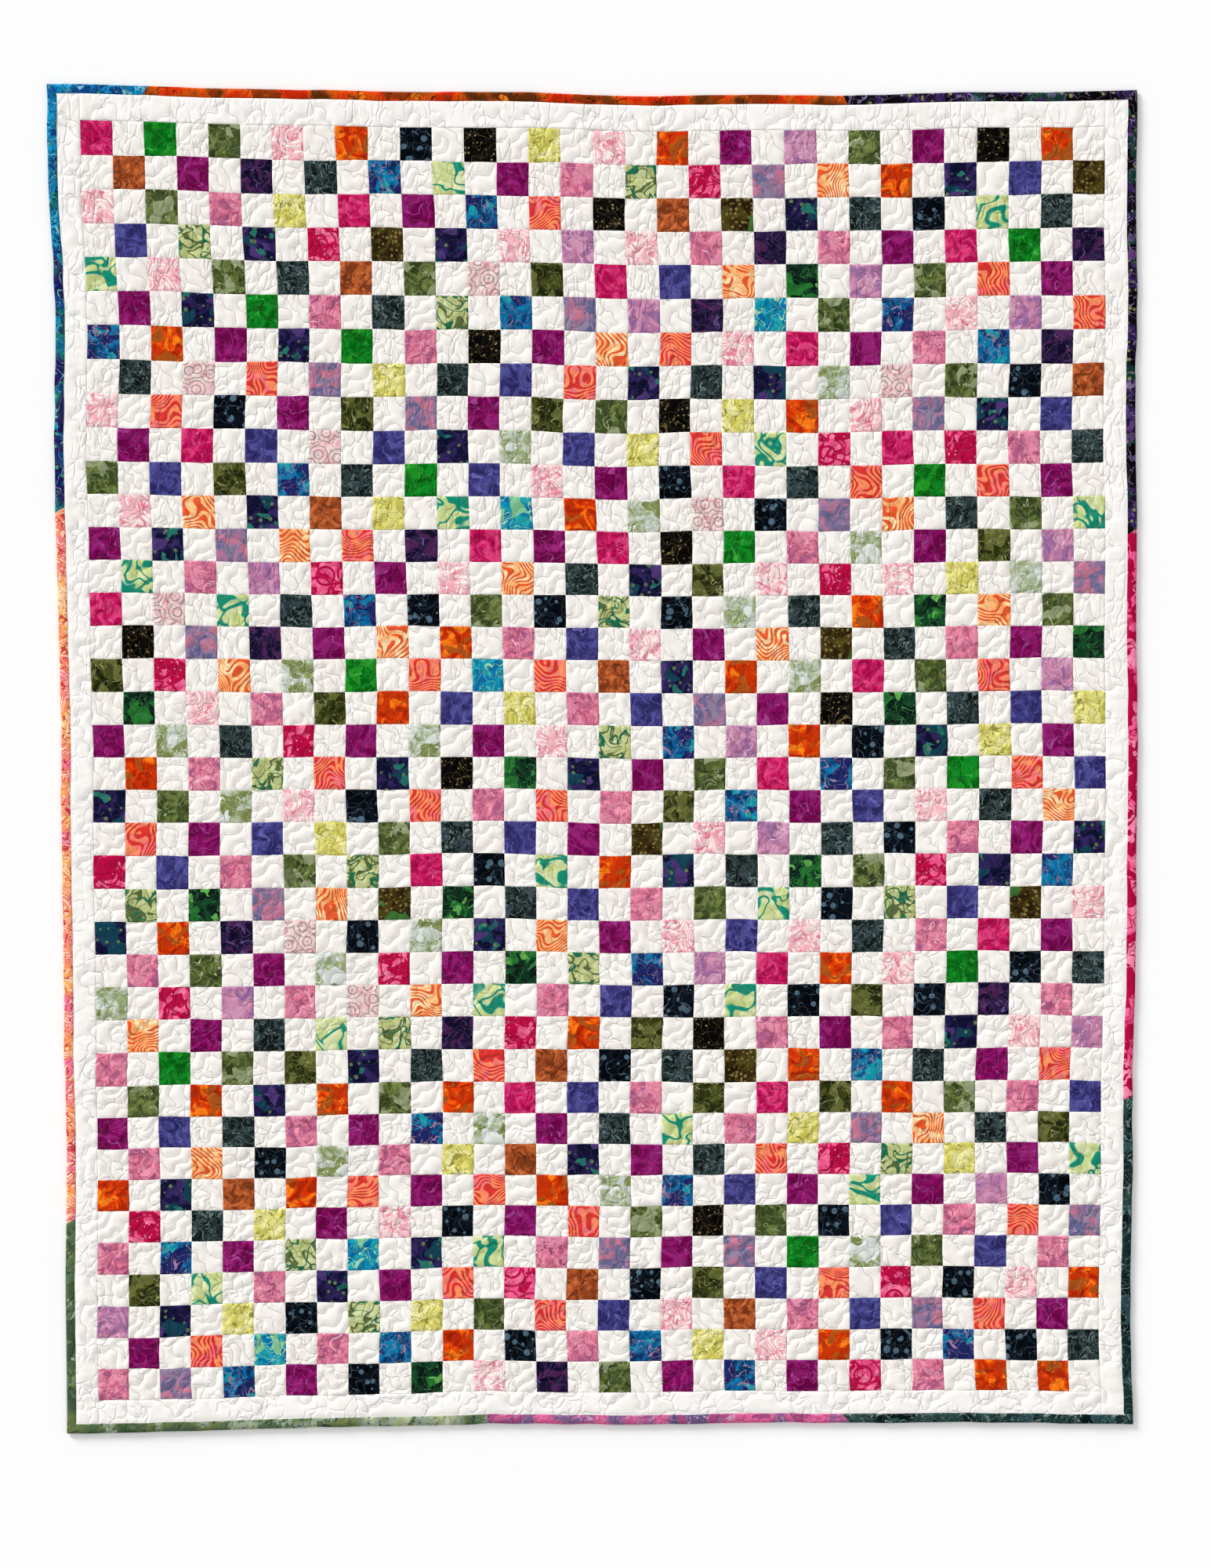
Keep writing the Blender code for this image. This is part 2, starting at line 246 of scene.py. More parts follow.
# %% Grow the tree
STITCH_SPACING = 0.0146
STITCH_MARGIN = 0.0145
GRID_SLANT = math.radians(33)
GRID_BEND = 0.030
BEND_SIZE = 0.085
BEND_SEEDS = (8, 9)
NEWEST_FIRST = 0.4


def slanted(points):
    """Where points of the fine grid lie on the sewn quilt, with a slow bend."""
    turned = (points - 0.5) * STITCH_SPACING @ np.array([
        [math.cos(GRID_SLANT), math.sin(GRID_SLANT)],
        [-math.sin(GRID_SLANT), math.cos(GRID_SLANT)],
    ])
    across, up = turned[..., 0] + SEWN_WIDTH / 2, turned[..., 1] + SEWN_HEIGHT / 2
    bend = [GRID_BEND * (cloud(across, up, BEND_SIZE, BEND_SIZE, seed) - 0.5) for seed in BEND_SEEDS]
    return np.stack([across + bend[0], up + bend[1]], axis=-1)


def inside_quilt(points):
    """Whether points on the sewn quilt keep the margin from its edges."""
    size = np.array([SEWN_WIDTH, SEWN_HEIGHT])
    return np.all((points > STITCH_MARGIN) & (points < size - STITCH_MARGIN), axis=-1)


def grid_places():
    """The places of the coarse grid whose four fine points all lie inside the quilt."""
    reach = int(SEWN_HEIGHT / STITCH_SPACING / 2)
    column, row = np.meshgrid(np.arange(-reach, reach), np.arange(-reach, reach))
    place = np.stack([column, row], axis=-1).reshape(-1, 2)
    fine = [inside_quilt(slanted(2.0 * place + corner)) for corner in ([0, 0], [1, 0], [0, 1], [1, 1])]
    return {tuple(one) for one in place[np.all(fine, axis=0)].tolist()}


def grown_tree(places, seed):
    """The links of a random tree that reaches the places from the middle, each link as a pair of places."""
    chance = random.Random(seed)
    reached = {(0, 0)}
    growing = [(0, 0)]
    links = set()
    while growing:
        turn = len(growing) - 1 if chance.random() < NEWEST_FIRST else chance.randrange(len(growing))
        column, row = growing[turn]
        steps = [(column + 1, row), (column - 1, row), (column, row + 1), (column, row - 1)]
        free = [step for step in steps if step in places and step not in reached]
        if not free:
            growing.pop(turn)
            continue
        step = chance.choice(free)
        reached.add(step)
        growing.append(step)
        links |= {((column, row), step), (step, (column, row))}
    return links


TREE_SEED = 5
tree_links = grown_tree(grid_places(), TREE_SEED)
print("tree links:", len(tree_links) // 2)

# %% [markdown]
# ## The path round the tree
#
# Each place of the coarse grid holds four fine points. From a fine point the path goes on into the next place
# where a link of the tree leads there, and otherwise to its neighbour in the same place. Its points are then
# nudged, each step is bowed to one side or the other, as a hand that guides the cloth does, and a smooth
# curve runs through them all.

# %% Walk round the tree
NUDGE = 0.0032
BOW = 0.38
LEAST_BOW = 0.3
BOW_SEED = 6
CURVE_STEPS = 10


def next_points(point, links):
    """The two neighbours of a fine grid point on the path that hugs the tree."""
    i, j = point
    side_i, side_j = (1 if i % 2 else -1), (1 if j % 2 else -1)
    here = (i // 2, j // 2)
    beside, above = (here[0] + side_i, here[1]), (here[0], here[1] + side_j)
    sideways = (i + side_i, j) if (here, beside) in links else (i, j - side_j)
    upwards = (i, j + side_j) if (here, above) in links else (i - side_i, j)
    return sideways, upwards


def walk_round(links):
    """The closed path round the tree, as fine grid points in order."""
    path = [(0, 0)]
    before, now = None, (0, 0)
    while True:
        ways = [point for point in next_points(now, links) if point != before]
        before, now = now, ways[0]
        if now == (0, 0):
            return path
        path.append(now)


def bowed(points, seed):
    """The path with a point added in the middle of each step, pushed to one side."""
    chance = np.random.default_rng(seed)
    points = points + chance.uniform(-NUDGE, NUDGE, points.shape)
    step = np.roll(points, -1, 0) - points
    push = chance.choice([-1.0, 1.0], len(points)) * chance.uniform(LEAST_BOW, 1.0, len(points)) * BOW
    middle = points + step / 2 + push[:, None] * np.stack([-step[:, 1], step[:, 0]], axis=-1)
    return np.stack([points, middle], axis=1).reshape(-1, 2)


def smooth_path(points, steps):
    """Points along a closed smooth curve through the given ones."""
    ahead, after, behind = np.roll(points, -1, 0), np.roll(points, -2, 0), np.roll(points, 1, 0)
    share = (np.arange(steps) / steps)[None, :, None]
    first = 2 * points[:, None] + (ahead - behind)[:, None] * share
    second = (2 * behind - 5 * points + 4 * ahead - after)[:, None] * share**2
    third = (3 * points - behind - 3 * ahead + after)[:, None] * share**3
    return ((first + second + third) / 2).reshape(-1, 2)


quilting = bowed(slanted(np.array(walk_round(tree_links), float)), BOW_SEED)
quilting_line = smooth_path(quilting, CURVE_STEPS)
quilting_length = np.linalg.norm(np.diff(quilting_line, axis=0), axis=1).sum()
print("quilting line:", len(quilting), "points,", round(float(quilting_length), 1), "m")

# %% [markdown]
# ## Where is the nearest stitch?
#
# The cloth is held down along the quilting line and swells between its rows, so the height of every point
# follows from its distance to the nearest stitch. The nearest stitch is found once, for a raster of 1 mm
# cells: each cell takes it over from the cells beside it, and then from those above and below.

# %% Raster of the nearest stitch
CELL = 0.001
REACH = 13
NO_STITCH = 1e4


def nearest_stitches(line):
    """For each cell of the raster, where its nearest stitch is and how far, in cells."""
    rows, columns = int(SEWN_HEIGHT / CELL) + 2, int(SEWN_WIDTH / CELL) + 2
    place_up, place_across = np.mgrid[0:rows, 0:columns].astype(np.float32)
    stitch_across = np.full((rows, columns), NO_STITCH, np.float32)
    stitch_up = np.full((rows, columns), NO_STITCH, np.float32)
    scaled = line / CELL
    column, row = np.rint(scaled).astype(int).T
    stitch_across[row, column], stitch_up[row, column] = scaled[:, 0], scaled[:, 1]
    for axis in (1, 0):
        given_across, given_up = stitch_across.copy(), stitch_up.copy()
        nearest = (place_across - stitch_across) ** 2 + (place_up - stitch_up) ** 2
        for shift in range(-REACH, REACH + 1):
            other_across, other_up = np.roll(given_across, shift, axis), np.roll(given_up, shift, axis)
            distance = (place_across - other_across) ** 2 + (place_up - other_up) ** 2
            closer = distance < nearest
            nearest[closer] = distance[closer]
            stitch_across[closer] = other_across[closer]
            stitch_up[closer] = other_up[closer]
    return stitch_across, stitch_up, np.minimum(np.sqrt(nearest), REACH)


def read_raster(raster, across, up):
    """The raster's value at sewn points, blended between its cells."""
    column = np.clip(across / CELL, 0, raster.shape[1] - 1.001)
    row = np.clip(up / CELL, 0, raster.shape[0] - 1.001)
    left, low = column.astype(int), row.astype(int)
    right, top = column - left, row - low
    lower = raster[low, left] * (1 - right) + raster[low, left + 1] * right
    upper = raster[low + 1, left] * (1 - right) + raster[low + 1, left + 1] * right
    return lower * (1 - top) + upper * top


stitches_across, stitches_up, stitch_distances = nearest_stitches(quilting_line)
farthest = float(stitch_distances.max()) * CELL
print("raster:", stitch_distances.shape, "farthest from a stitch:", round(farthest, 4))

# %% [markdown]
# ## A crisp crease
#
# A grid of points that takes no notice of the stitches crosses their valley in steps. Its points that are
# close to the line are moved onto it, so that edges of the mesh run along the bottom of the crease.

# %% Snap points to the line
SNAP = 0.00095


def snapped(across, up, free):
    """Moves the free points that are close to the quilting line onto it, so that its crease is crisp."""
    column, row = np.rint(across / CELL).astype(int), np.rint(up / CELL).astype(int)
    to_across, to_up = stitches_across[row, column] * CELL, stitches_up[row, column] * CELL
    close = free & (np.hypot(to_across - across, to_up - up) < SNAP)
    return np.where(close, to_across, across), np.where(close, to_up, up)


print("points within", SNAP, "of a stitch move onto it")

# %% [markdown]
# ## The height of the cloth
#
# Between the stitches the batting pushes the cloth up like a shallow pillow, steep beside the stitches and
# round on top. The puffs are deeper in the lower half. Towards the top the quilt has been pulled lengthways,
# and upright creases run over flatter puffs. Beside the stitches the cloth gathers into short creases, and on
# the side borders it lies in small pleats. Each kind of crease has a size across the quilt, a size up it and
# a seed for its random values, and so have the slow swell of the whole quilt and the variety of its puffs.

# %% Height function
STITCHED_HEIGHT = 0.0032
PUFF_EDGE = 0.0018
PUFF_REACH = 0.0080
TOP_PUFF = 0.0011
BOTTOM_PUFF = 0.0015
CREASE_DEPTH = 0.0004
GATHER_DEPTH = 0.0003
GATHER_REACH = 0.004
PLEAT_DEPTH = 0.00045
PLEAT_REACH = 0.008
SWELL = 0.0006
LEAST_PUFF = 0.8
PUFF_VARIETY = 0.4
STEEP_SHARE = 0.45
PUFF_CLOUD = (0.022, 0.022, 3)
UPRIGHT_CREASE = (0.011, 0.042, 4)
LEVEL_CREASE = (0.034, 0.012, 5)
GATHER_CREASE = (0.0075, 0.0075, 10)
PLEAT_CREASE = (0.030, 0.0085, 11)
SWELL_CLOUD = (0.19, 0.15, 7)


def creases(across, up, size_across, size_up, seed):
    """Sharp-edged random creases, 1 along each crease and 0 between them."""
    return (1 - np.abs(2 * cloud(across, up, size_across, size_up, seed) - 1)) ** 4


def quilted_height(across, up):
    """The height of the quilt's face above the floor, before any seam."""
    distance = CELL * read_raster(stitch_distances, across, up)
    top = up / SEWN_HEIGHT
    puff = BOTTOM_PUFF + (TOP_PUFF - BOTTOM_PUFF) * top
    puff = puff * (LEAST_PUFF + PUFF_VARIETY * cloud(across, up, *PUFF_CLOUD))
    steep = 1 - np.exp(-distance / PUFF_EDGE)
    round_top = 1 - (1 - np.minimum(distance / PUFF_REACH, 1)) ** 2
    height = STITCHED_HEIGHT + puff * (STEEP_SHARE * steep + (1 - STEEP_SHARE) * round_top)
    upright = creases(across, up, *UPRIGHT_CREASE) * (0.1 + 0.9 * top)
    level = creases(across, up, *LEVEL_CREASE) * (0.5 - 0.4 * top)
    gathers = creases(across, up, *GATHER_CREASE) * np.exp(-distance / GATHER_REACH)
    from_side = np.minimum(across, SEWN_WIDTH - across)
    pleats = creases(across, up, *PLEAT_CREASE) * np.clip((SIDE_INSET - from_side) / PLEAT_REACH, 0, 1)
    height = height - CREASE_DEPTH * (upright + level) - GATHER_DEPTH * gathers - PLEAT_DEPTH * pleats
    return height + SWELL * cloud(across, up, *SWELL_CLOUD)


sample = quilted_height(*np.meshgrid(COLUMN_SEAMS, np.linspace(ROW_SEAMS[0], ROW_SEAMS[-1], 400)))
print("face of the quilt from", round(float(sample.min()), 4), "to", round(float(sample.max()), 4))

# %% [markdown]
# ## Turning grids into cloth
#
# Each piece of cloth is a grid of points laid out in sewn metres and then moved to where it lies. Beside its
# shape it keeps a map of cloth coordinates, also in metres, which run along the weave. The patterns are drawn
# in those, so every motif has its real size and is cut off at the seams, as in a real patch.

# %% Helper for a cloth object
pieces = {}


def grid_quads(blocks, rows, columns):
    """Quads of several equal grids of points that follow one another."""
    corner = (np.arange(rows - 1)[:, None] * columns + np.arange(columns - 1)[None, :]).reshape(-1)
    quads = np.stack([corner, corner + 1, corner + columns + 1, corner + columns], axis=1)
    offsets = np.arange(blocks) * rows * columns
    return (offsets[:, None, None] + quads[None]).reshape(-1, 4)


def cloth_object(name, points, quads, cloth, material):
    """A smooth mesh object with its cloth coordinates."""
    mesh = bpy.data.meshes.new(name)
    mesh.from_pydata(points.reshape(-1, 3).tolist(), [], quads.tolist())
    layer = mesh.uv_layers.new(name="cloth")
    layer.data.foreach_set("uv", cloth.reshape(-1, 2)[quads.reshape(-1)].astype(np.float32).reshape(-1))
    mesh.shade_smooth()
    mesh.materials.append(material)
    piece = bpy.data.objects.new(name, mesh)
    bpy.context.scene.collection.objects.link(piece)
    pieces[name] = piece
    return piece


print("a square of 3 by 3 points has", len(grid_quads(1, 3, 3)), "faces")

# %% [markdown]
# ## Colours and shader nodes
#
# Colours are written as sRGB hex values, as one would pick them from cloth, and Blender's shaders work in
# linear light, so one function converts them. Another adds a shader node with its settings and links, which
# keeps each material readable.

# %% Colour and node helpers
SEED_SHIFT = (0.37, 0.61)


def linear(hex_colour):
    """A hex sRGB colour as linear red, green, blue and alpha."""
    values = [int(hex_colour[place:place + 2], 16) / 255 for place in (1, 3, 5)]
    return [v / 12.92 if v <= 0.04045 else ((v + 0.055) / 1.055) ** 2.4 for v in values] + [1.0]


def node(tree, kind, settings=(), links=()):
    """Adds a shader node, sets its properties or sockets by name or number, and links sockets to it."""
    made = tree.nodes.new(kind)
    for key, value in dict(settings).items():
        if isinstance(key, str) and hasattr(made, key):
            setattr(made, key, value)
        else:
            made.inputs[key].default_value = value
    for key, source in dict(links).items():
        tree.links.new(source, made.inputs[key])
    return made


def shifted(tree, cloth, seed):
    """Cloth coordinates moved by a seed's own distance, so that two patterns don't match up."""
    offset = (SEED_SHIFT[0] * seed, SEED_SHIFT[1] * seed, 0.0)
    return node(tree, "ShaderNodeVectorMath", {"operation": "ADD", 1: offset}, {0: cloth}).outputs[0]


def soft_step(tree, value, low, high):
    """0 below low, 1 above high and a smooth step between, or the reverse if low is the higher."""
    settings = {"interpolation_type": "SMOOTHSTEP", "From Min": low, "From Max": high}
    return node(tree, "ShaderNodeMapRange", settings, {"Value": value}).outputs["Result"]


print("half-way grey in linear light:", round(linear("#808080")[0], 3))

# %% [markdown]
# ## Batik motifs made of lines
#
# Batik is made by drawing or stamping hot wax on cotton, dyeing the cloth, and boiling the wax off again, so
# a motif is where the wax kept the dye out. Its lines are winding vines, brush strokes and rings, all plain
# and generic. Each one here is a mask from 0 to 1, drawn from noise, waves or cells of a size in metres.

# %% Masks of lines
# A wave texture of scale 1 has a band every 0.314 m.
BAND_SPACING = 0.314
RING_TURNS = 24.0


def vines(tree, cloth, size, weight, seed):
    """Winding lines: where smooth noise passes its middle value."""
    place = shifted(tree, cloth, seed)
    settings = {"noise_dimensions": "2D", "Scale": 1 / size, "Detail": 1.0, "Distortion": 0.6}
    noise = node(tree, "ShaderNodeTexNoise", settings, {"Vector": place})
    away = node(tree, "ShaderNodeMath", {"operation": "SUBTRACT", 1: 0.5}, {0: noise.outputs[0]})
    away = node(tree, "ShaderNodeMath", {"operation": "ABSOLUTE"}, {0: away.outputs[0]})
    return soft_step(tree, away.outputs[0], weight, weight * 0.6)


def strokes(tree, cloth, size, weight, seed):
    """Brush strokes that flow round each other: even bands bent by noise, which swell and end."""
    place = shifted(tree, cloth, seed)
    settings = {"Scale": BAND_SPACING / size, "Distortion": 30.0, "Detail": 0.0, "Detail Scale": 0.7}
    wave = node(tree, "ShaderNodeTexWave", settings, {"Vector": place})
    settings = {"noise_dimensions": "2D", "Scale": 0.6 / size, "Detail": 0.0}
    swell = node(tree, "ShaderNodeTexNoise", settings, {"Vector": place})
    settings = {"operation": "MULTIPLY_ADD", 1: 1.6, 2: 0.2}
    swell = node(tree, "ShaderNodeMath", settings, {0: swell.outputs[0]})
    band = node(tree, "ShaderNodeMath", {"operation": "MULTIPLY"}, {0: wave.outputs[1], 1: swell.outputs[0]})
    return soft_step(tree, band.outputs[0], 1 - weight, 1.12 - weight)


def rings(tree, cloth, size, weight, seed):
    """Rings within rings round the middles of cells."""
    place = shifted(tree, cloth, seed)
    settings = {"voronoi_dimensions": "2D", "Scale": 1 / size, "Randomness": 0.9}
    cells = node(tree, "ShaderNodeTexVoronoi", settings, {"Vector": place})
    settings = {"operation": "MULTIPLY", 1: RING_TURNS}
    turns = node(tree, "ShaderNodeMath", settings, {0: cells.outputs["Distance"]})
    wave = node(tree, "ShaderNodeMath", {"operation": "COSINE"}, {0: turns.outputs[0]})
    near = soft_step(tree, cells.outputs["Distance"], 0.62, 0.50)
    shown = soft_step(tree, wave.outputs[0], 1 - weight, 1 - weight / 2)
    return node(tree, "ShaderNodeMath", {"operation": "MULTIPLY"}, {0: near, 1: shown}).outputs[0]


print("motifs made of lines: vines, strokes and rings")

# %% [markdown]
# ## Batik motifs made of shapes
#
# Pods, pools and leaves are closed shapes. A Voronoi texture parts the cloth into cells with a random value
# each, which decides how large a pod is or whether a leaf shows. Bending the cloth coordinates by noise first
# gives the leaves their curved outlines. Pools are where smooth noise is high.

# %% Masks of shapes
def pods(tree, cloth, size, weight, seed):
    """Round pods of many sizes, the smallest ones no more than specks."""
    place = shifted(tree, cloth, seed)
    settings = {"voronoi_dimensions": "2D", "Scale": 1 / size, "Randomness": 1.0}
    cells = node(tree, "ShaderNodeTexVoronoi", settings, {"Vector": place})
    chance = node(tree, "ShaderNodeSeparateColor", (), {0: cells.outputs["Color"]})
    settings = {"operation": "MULTIPLY", 1: 1.4 * weight}
    radius = node(tree, "ShaderNodeMath", settings, {0: chance.outputs[0]})
    ends = {0: radius.outputs[0], 1: cells.outputs["Distance"]}
    inside = node(tree, "ShaderNodeMath", {"operation": "SUBTRACT"}, ends)
    return soft_step(tree, inside.outputs[0], 0.0, 0.06)


def pools(tree, cloth, size, weight, seed):
    """Irregular pools of dye with a crisp edge."""
    place = shifted(tree, cloth, seed)
    settings = {"noise_dimensions": "2D", "Scale": 1 / size, "Detail": 1.5, "Distortion": 0.8}
    noise = node(tree, "ShaderNodeTexNoise", settings, {"Vector": place})
    return soft_step(tree, noise.outputs[0], 1 - weight, 1 - weight + 0.03)


def leaves(tree, cloth, size, weight, seed):
    """Leaf shapes that lie side by side: some of the cells of a bent pattern of cells."""
    place = shifted(tree, cloth, seed)
    settings = {"noise_dimensions": "2D", "Scale": 0.6 / size, "Detail": 1.0}
    bend = node(tree, "ShaderNodeTexNoise", settings, {"Vector": place})
    settings = {"operation": "SCALE", "Scale": 1.6 * size}
    bend = node(tree, "ShaderNodeVectorMath", settings, {0: bend.outputs["Color"]})
    bent = node(tree, "ShaderNodeVectorMath", {"operation": "ADD"}, {0: place, 1: bend.outputs[0]})
    settings = {"voronoi_dimensions": "2D", "Scale": 1 / size}
    cells = node(tree, "ShaderNodeTexVoronoi", settings, {"Vector": bent.outputs[0]})
    chance = node(tree, "ShaderNodeSeparateColor", (), {0: cells.outputs["Color"]})
    return soft_step(tree, chance.outputs[0], 1 - weight, 1.02 - weight)


MOTIFS = {
    "vines": vines, "strokes": strokes, "rings": rings,
    "pods": pods, "pools": pools, "leaves": leaves,
}
print("motifs:", ", ".join(MOTIFS))

# %% [markdown]
# ## Quilting cotton
#
# Quilting cotton is a plain weave of about 30 threads to the centimetre, finished without gloss. Its threads
# scatter light every way, so it is rough and almost without a highlight. The weave is too fine to show at
# this size, so it is drawn three times as coarse as it is, and only as a bump. The finest creases are a bump
# too, because they are narrower than the mesh of the cloth. They run over the seams, so they are drawn in the
# quilt's own coordinates, and they stand upright near the top, where the quilt has been pulled.

# %% Weave and creases
THREAD_SPACING = 0.0010
WEAVE_DEPTH = 0.0001
WEAVE_STRENGTH = 0.25
CREASE_SIZE = 0.016
PULLED_SCALE = (1.4, 0.7, 0.0)
PULLED_FROM = -0.5
PULLED_TO = 0.5


def crease_lines(tree, place, size, seed):
    """Thin creases that meet in threes and come and go: 0 along each crease and 1 away from it."""
    moved = shifted(tree, place, seed)
    settings = {"noise_dimensions": "2D", "Scale": 1 / size, "Detail": 1.0}
    noise = node(tree, "ShaderNodeTexNoise", settings, {"Vector": moved})
    settings = {"operation": "SCALE", "Scale": size}
    bend = node(tree, "ShaderNodeVectorMath", settings, {0: noise.outputs["Color"]})
    bent = node(tree, "ShaderNodeVectorMath", {"operation": "ADD"}, {0: moved, 1: bend.outputs[0]})
    settings = {"voronoi_dimensions": "2D", "feature": "DISTANCE_TO_EDGE", "Scale": 1 / size}
    cells = node(tree, "ShaderNodeTexVoronoi", settings, {"Vector": bent.outputs[0]})
    line = soft_step(tree, cells.outputs["Distance"], 0.0, 0.20)
    settings = {"noise_dimensions": "2D", "Scale": 0.4 / size, "Detail": 0.0}
    patch = node(tree, "ShaderNodeTexNoise", settings, {"Vector": moved})
    shown = soft_step(tree, patch.outputs[0], 0.35, 0.60)
    return node(tree, "ShaderNodeMix", {2: 1.0}, {0: shown, 3: line}).outputs[0]


def cotton_bump(tree, cloth, crease_depth):
    """The weave and the fine creases as a bump."""
    turns = 2 * math.pi / THREAD_SPACING
    scaled = node(tree, "ShaderNodeVectorMath", {"operation": "SCALE", "Scale": turns}, {0: cloth})
    parts = node(tree, "ShaderNodeSeparateXYZ", (), {0: scaled.outputs[0]})
    warp = node(tree, "ShaderNodeMath", {"operation": "SINE"}, {0: parts.outputs[0]})
    weft = node(tree, "ShaderNodeMath", {"operation": "SINE"}, {0: parts.outputs[1]})
    weave = node(tree, "ShaderNodeMath", {"operation": "MULTIPLY"}, {0: warp.outputs[0], 1: weft.outputs[0]})
    settings = {"Strength": WEAVE_STRENGTH, "Distance": WEAVE_DEPTH}
    woven = node(tree, "ShaderNodeBump", settings, {"Height": weave.outputs[0]}).outputs[0]
    place = node(tree, "ShaderNodeTexCoord").outputs["Object"]
    settings = {"operation": "MULTIPLY", 1: PULLED_SCALE}
    upright = node(tree, "ShaderNodeVectorMath", settings, {0: place}).outputs[0]
    height = node(tree, "ShaderNodeSeparateXYZ", (), {0: place}).outputs[1]
    near_top = soft_step(tree, height, PULLED_FROM, PULLED_TO)
    even = crease_lines(tree, place, CREASE_SIZE, 1)
    pulled = crease_lines(tree, upright, CREASE_SIZE, 2)
    mixed = node(tree, "ShaderNodeMix", (), {0: near_top, 2: even, 3: pulled}).outputs[0]
    settings = {"Strength": 1.0, "Distance": crease_depth}
    return node(tree, "ShaderNodeBump", settings, {"Height": mixed, "Normal": woven}).outputs[0]


print("threads drawn", 1000 * THREAD_SPACING, "mm apart, fine creases", 1000 * CREASE_SIZE, "mm")

# %% [markdown]
# ## Dyed and bleached cotton
#
# Every cotton here has the same finish and differs in its colour and in how deeply it creases. Dyes run into
# each other where smooth noise passes from low to high, which a colour ramp turns into a row of dyes. The
# whites get the faintest change of tone in the same way. The borders are a shade whiter than the squares.

# %% Cotton materials
COTTON_ROUGHNESS = 0.88
COTTON_SHINE = 0.03
WHITE_CREASE = 0.0006
BATIK_CREASE = 0.0008
BACKING_CREASE = 0.0003
DYE_LOW = 0.38
DYE_HIGH = 0.62
WHITE_TONE_SIZE = 0.05
WHITE_SEED = 3


def cotton_material(name, crease_depth):
    """An empty cotton material: its node tree, its cloth coordinates and its shader."""
    material = bpy.data.materials.new(name)
    material.use_nodes = True
    tree = material.node_tree
    shader = tree.nodes["Principled BSDF"]
    shader.inputs["Roughness"].default_value = COTTON_ROUGHNESS
    shader.inputs["Specular IOR Level"].default_value = COTTON_SHINE
    cloth = node(tree, "ShaderNodeUVMap", {"uv_map": "cloth"}).outputs[0]
    tree.links.new(cotton_bump(tree, cloth, crease_depth), shader.inputs["Normal"])
    return material, tree, cloth, shader


def dye_ramp(tree, value, dyes, low, high):
    """Dyes that run into each other as a value goes from low to high."""
    made = node(tree, "ShaderNodeValToRGB", (), {0: value})
    ramp = made.color_ramp
    ramp.elements[0].position, ramp.elements[0].color = low, linear(dyes[0])
    ramp.elements[1].position, ramp.elements[1].color = high, linear(dyes[-1])
    for turn, dye in enumerate(dyes[1:-1], start=1):
        ramp.elements.new(low + (high - low) * turn / (len(dyes) - 1)).color = linear(dye)
    return made.outputs[0]


def mottled(tree, cloth, dyes, size, seed):
    """Dyes that run into each other in pools of a size."""
    settings = {
        "noise_dimensions": "2D", "Scale": 1 / size, "Detail": 3.0, "Roughness": 0.6, "Distortion": 0.9,
    }
    noise = node(tree, "ShaderNodeTexNoise", settings, {"Vector": shifted(tree, cloth, seed)})
    return dye_ramp(tree, noise.outputs[0], dyes, DYE_LOW, DYE_HIGH)


def white_cotton(name, colours, crease_depth):
    """Plain bleached cotton, with the faintest change of tone."""
    material, tree, cloth, shader = cotton_material(name, crease_depth)
    tone = mottled(tree, cloth, colours, WHITE_TONE_SIZE, WHITE_SEED)
    tree.links.new(tone, shader.inputs["Base Color"])
    return material


BLEACHED = ["#f1ebe6", "#f3eee8", "#f5f1ec"]
BORDER_WHITES = ["#f4f0ec", "#f6f3ef", "#f9f6f3"]
BACKING_WHITES = ["#f1eee8", "#f4f1ec", "#f6f4ef"]
bleached_cotton = white_cotton("bleached_cotton", BLEACHED, WHITE_CREASE)
border_cotton = white_cotton("bleached_border_cotton", BORDER_WHITES, WHITE_CREASE)
backing_cotton = white_cotton("plain_backing_cotton", BACKING_WHITES, BACKING_CREASE)
print("white cottons:", bleached_cotton.name, border_cotton.name, backing_cotton.name)

# %% [markdown]
# ## The batik fabrics
#
# The maker cut the coloured squares from about thirty batiks. The table gives each one's name, the number of
# squares cut from it, the dyes of its ground and how large they pool, and then its motifs: the kind, size in
# metres, weight and dye of each, in the order in which they were laid on.

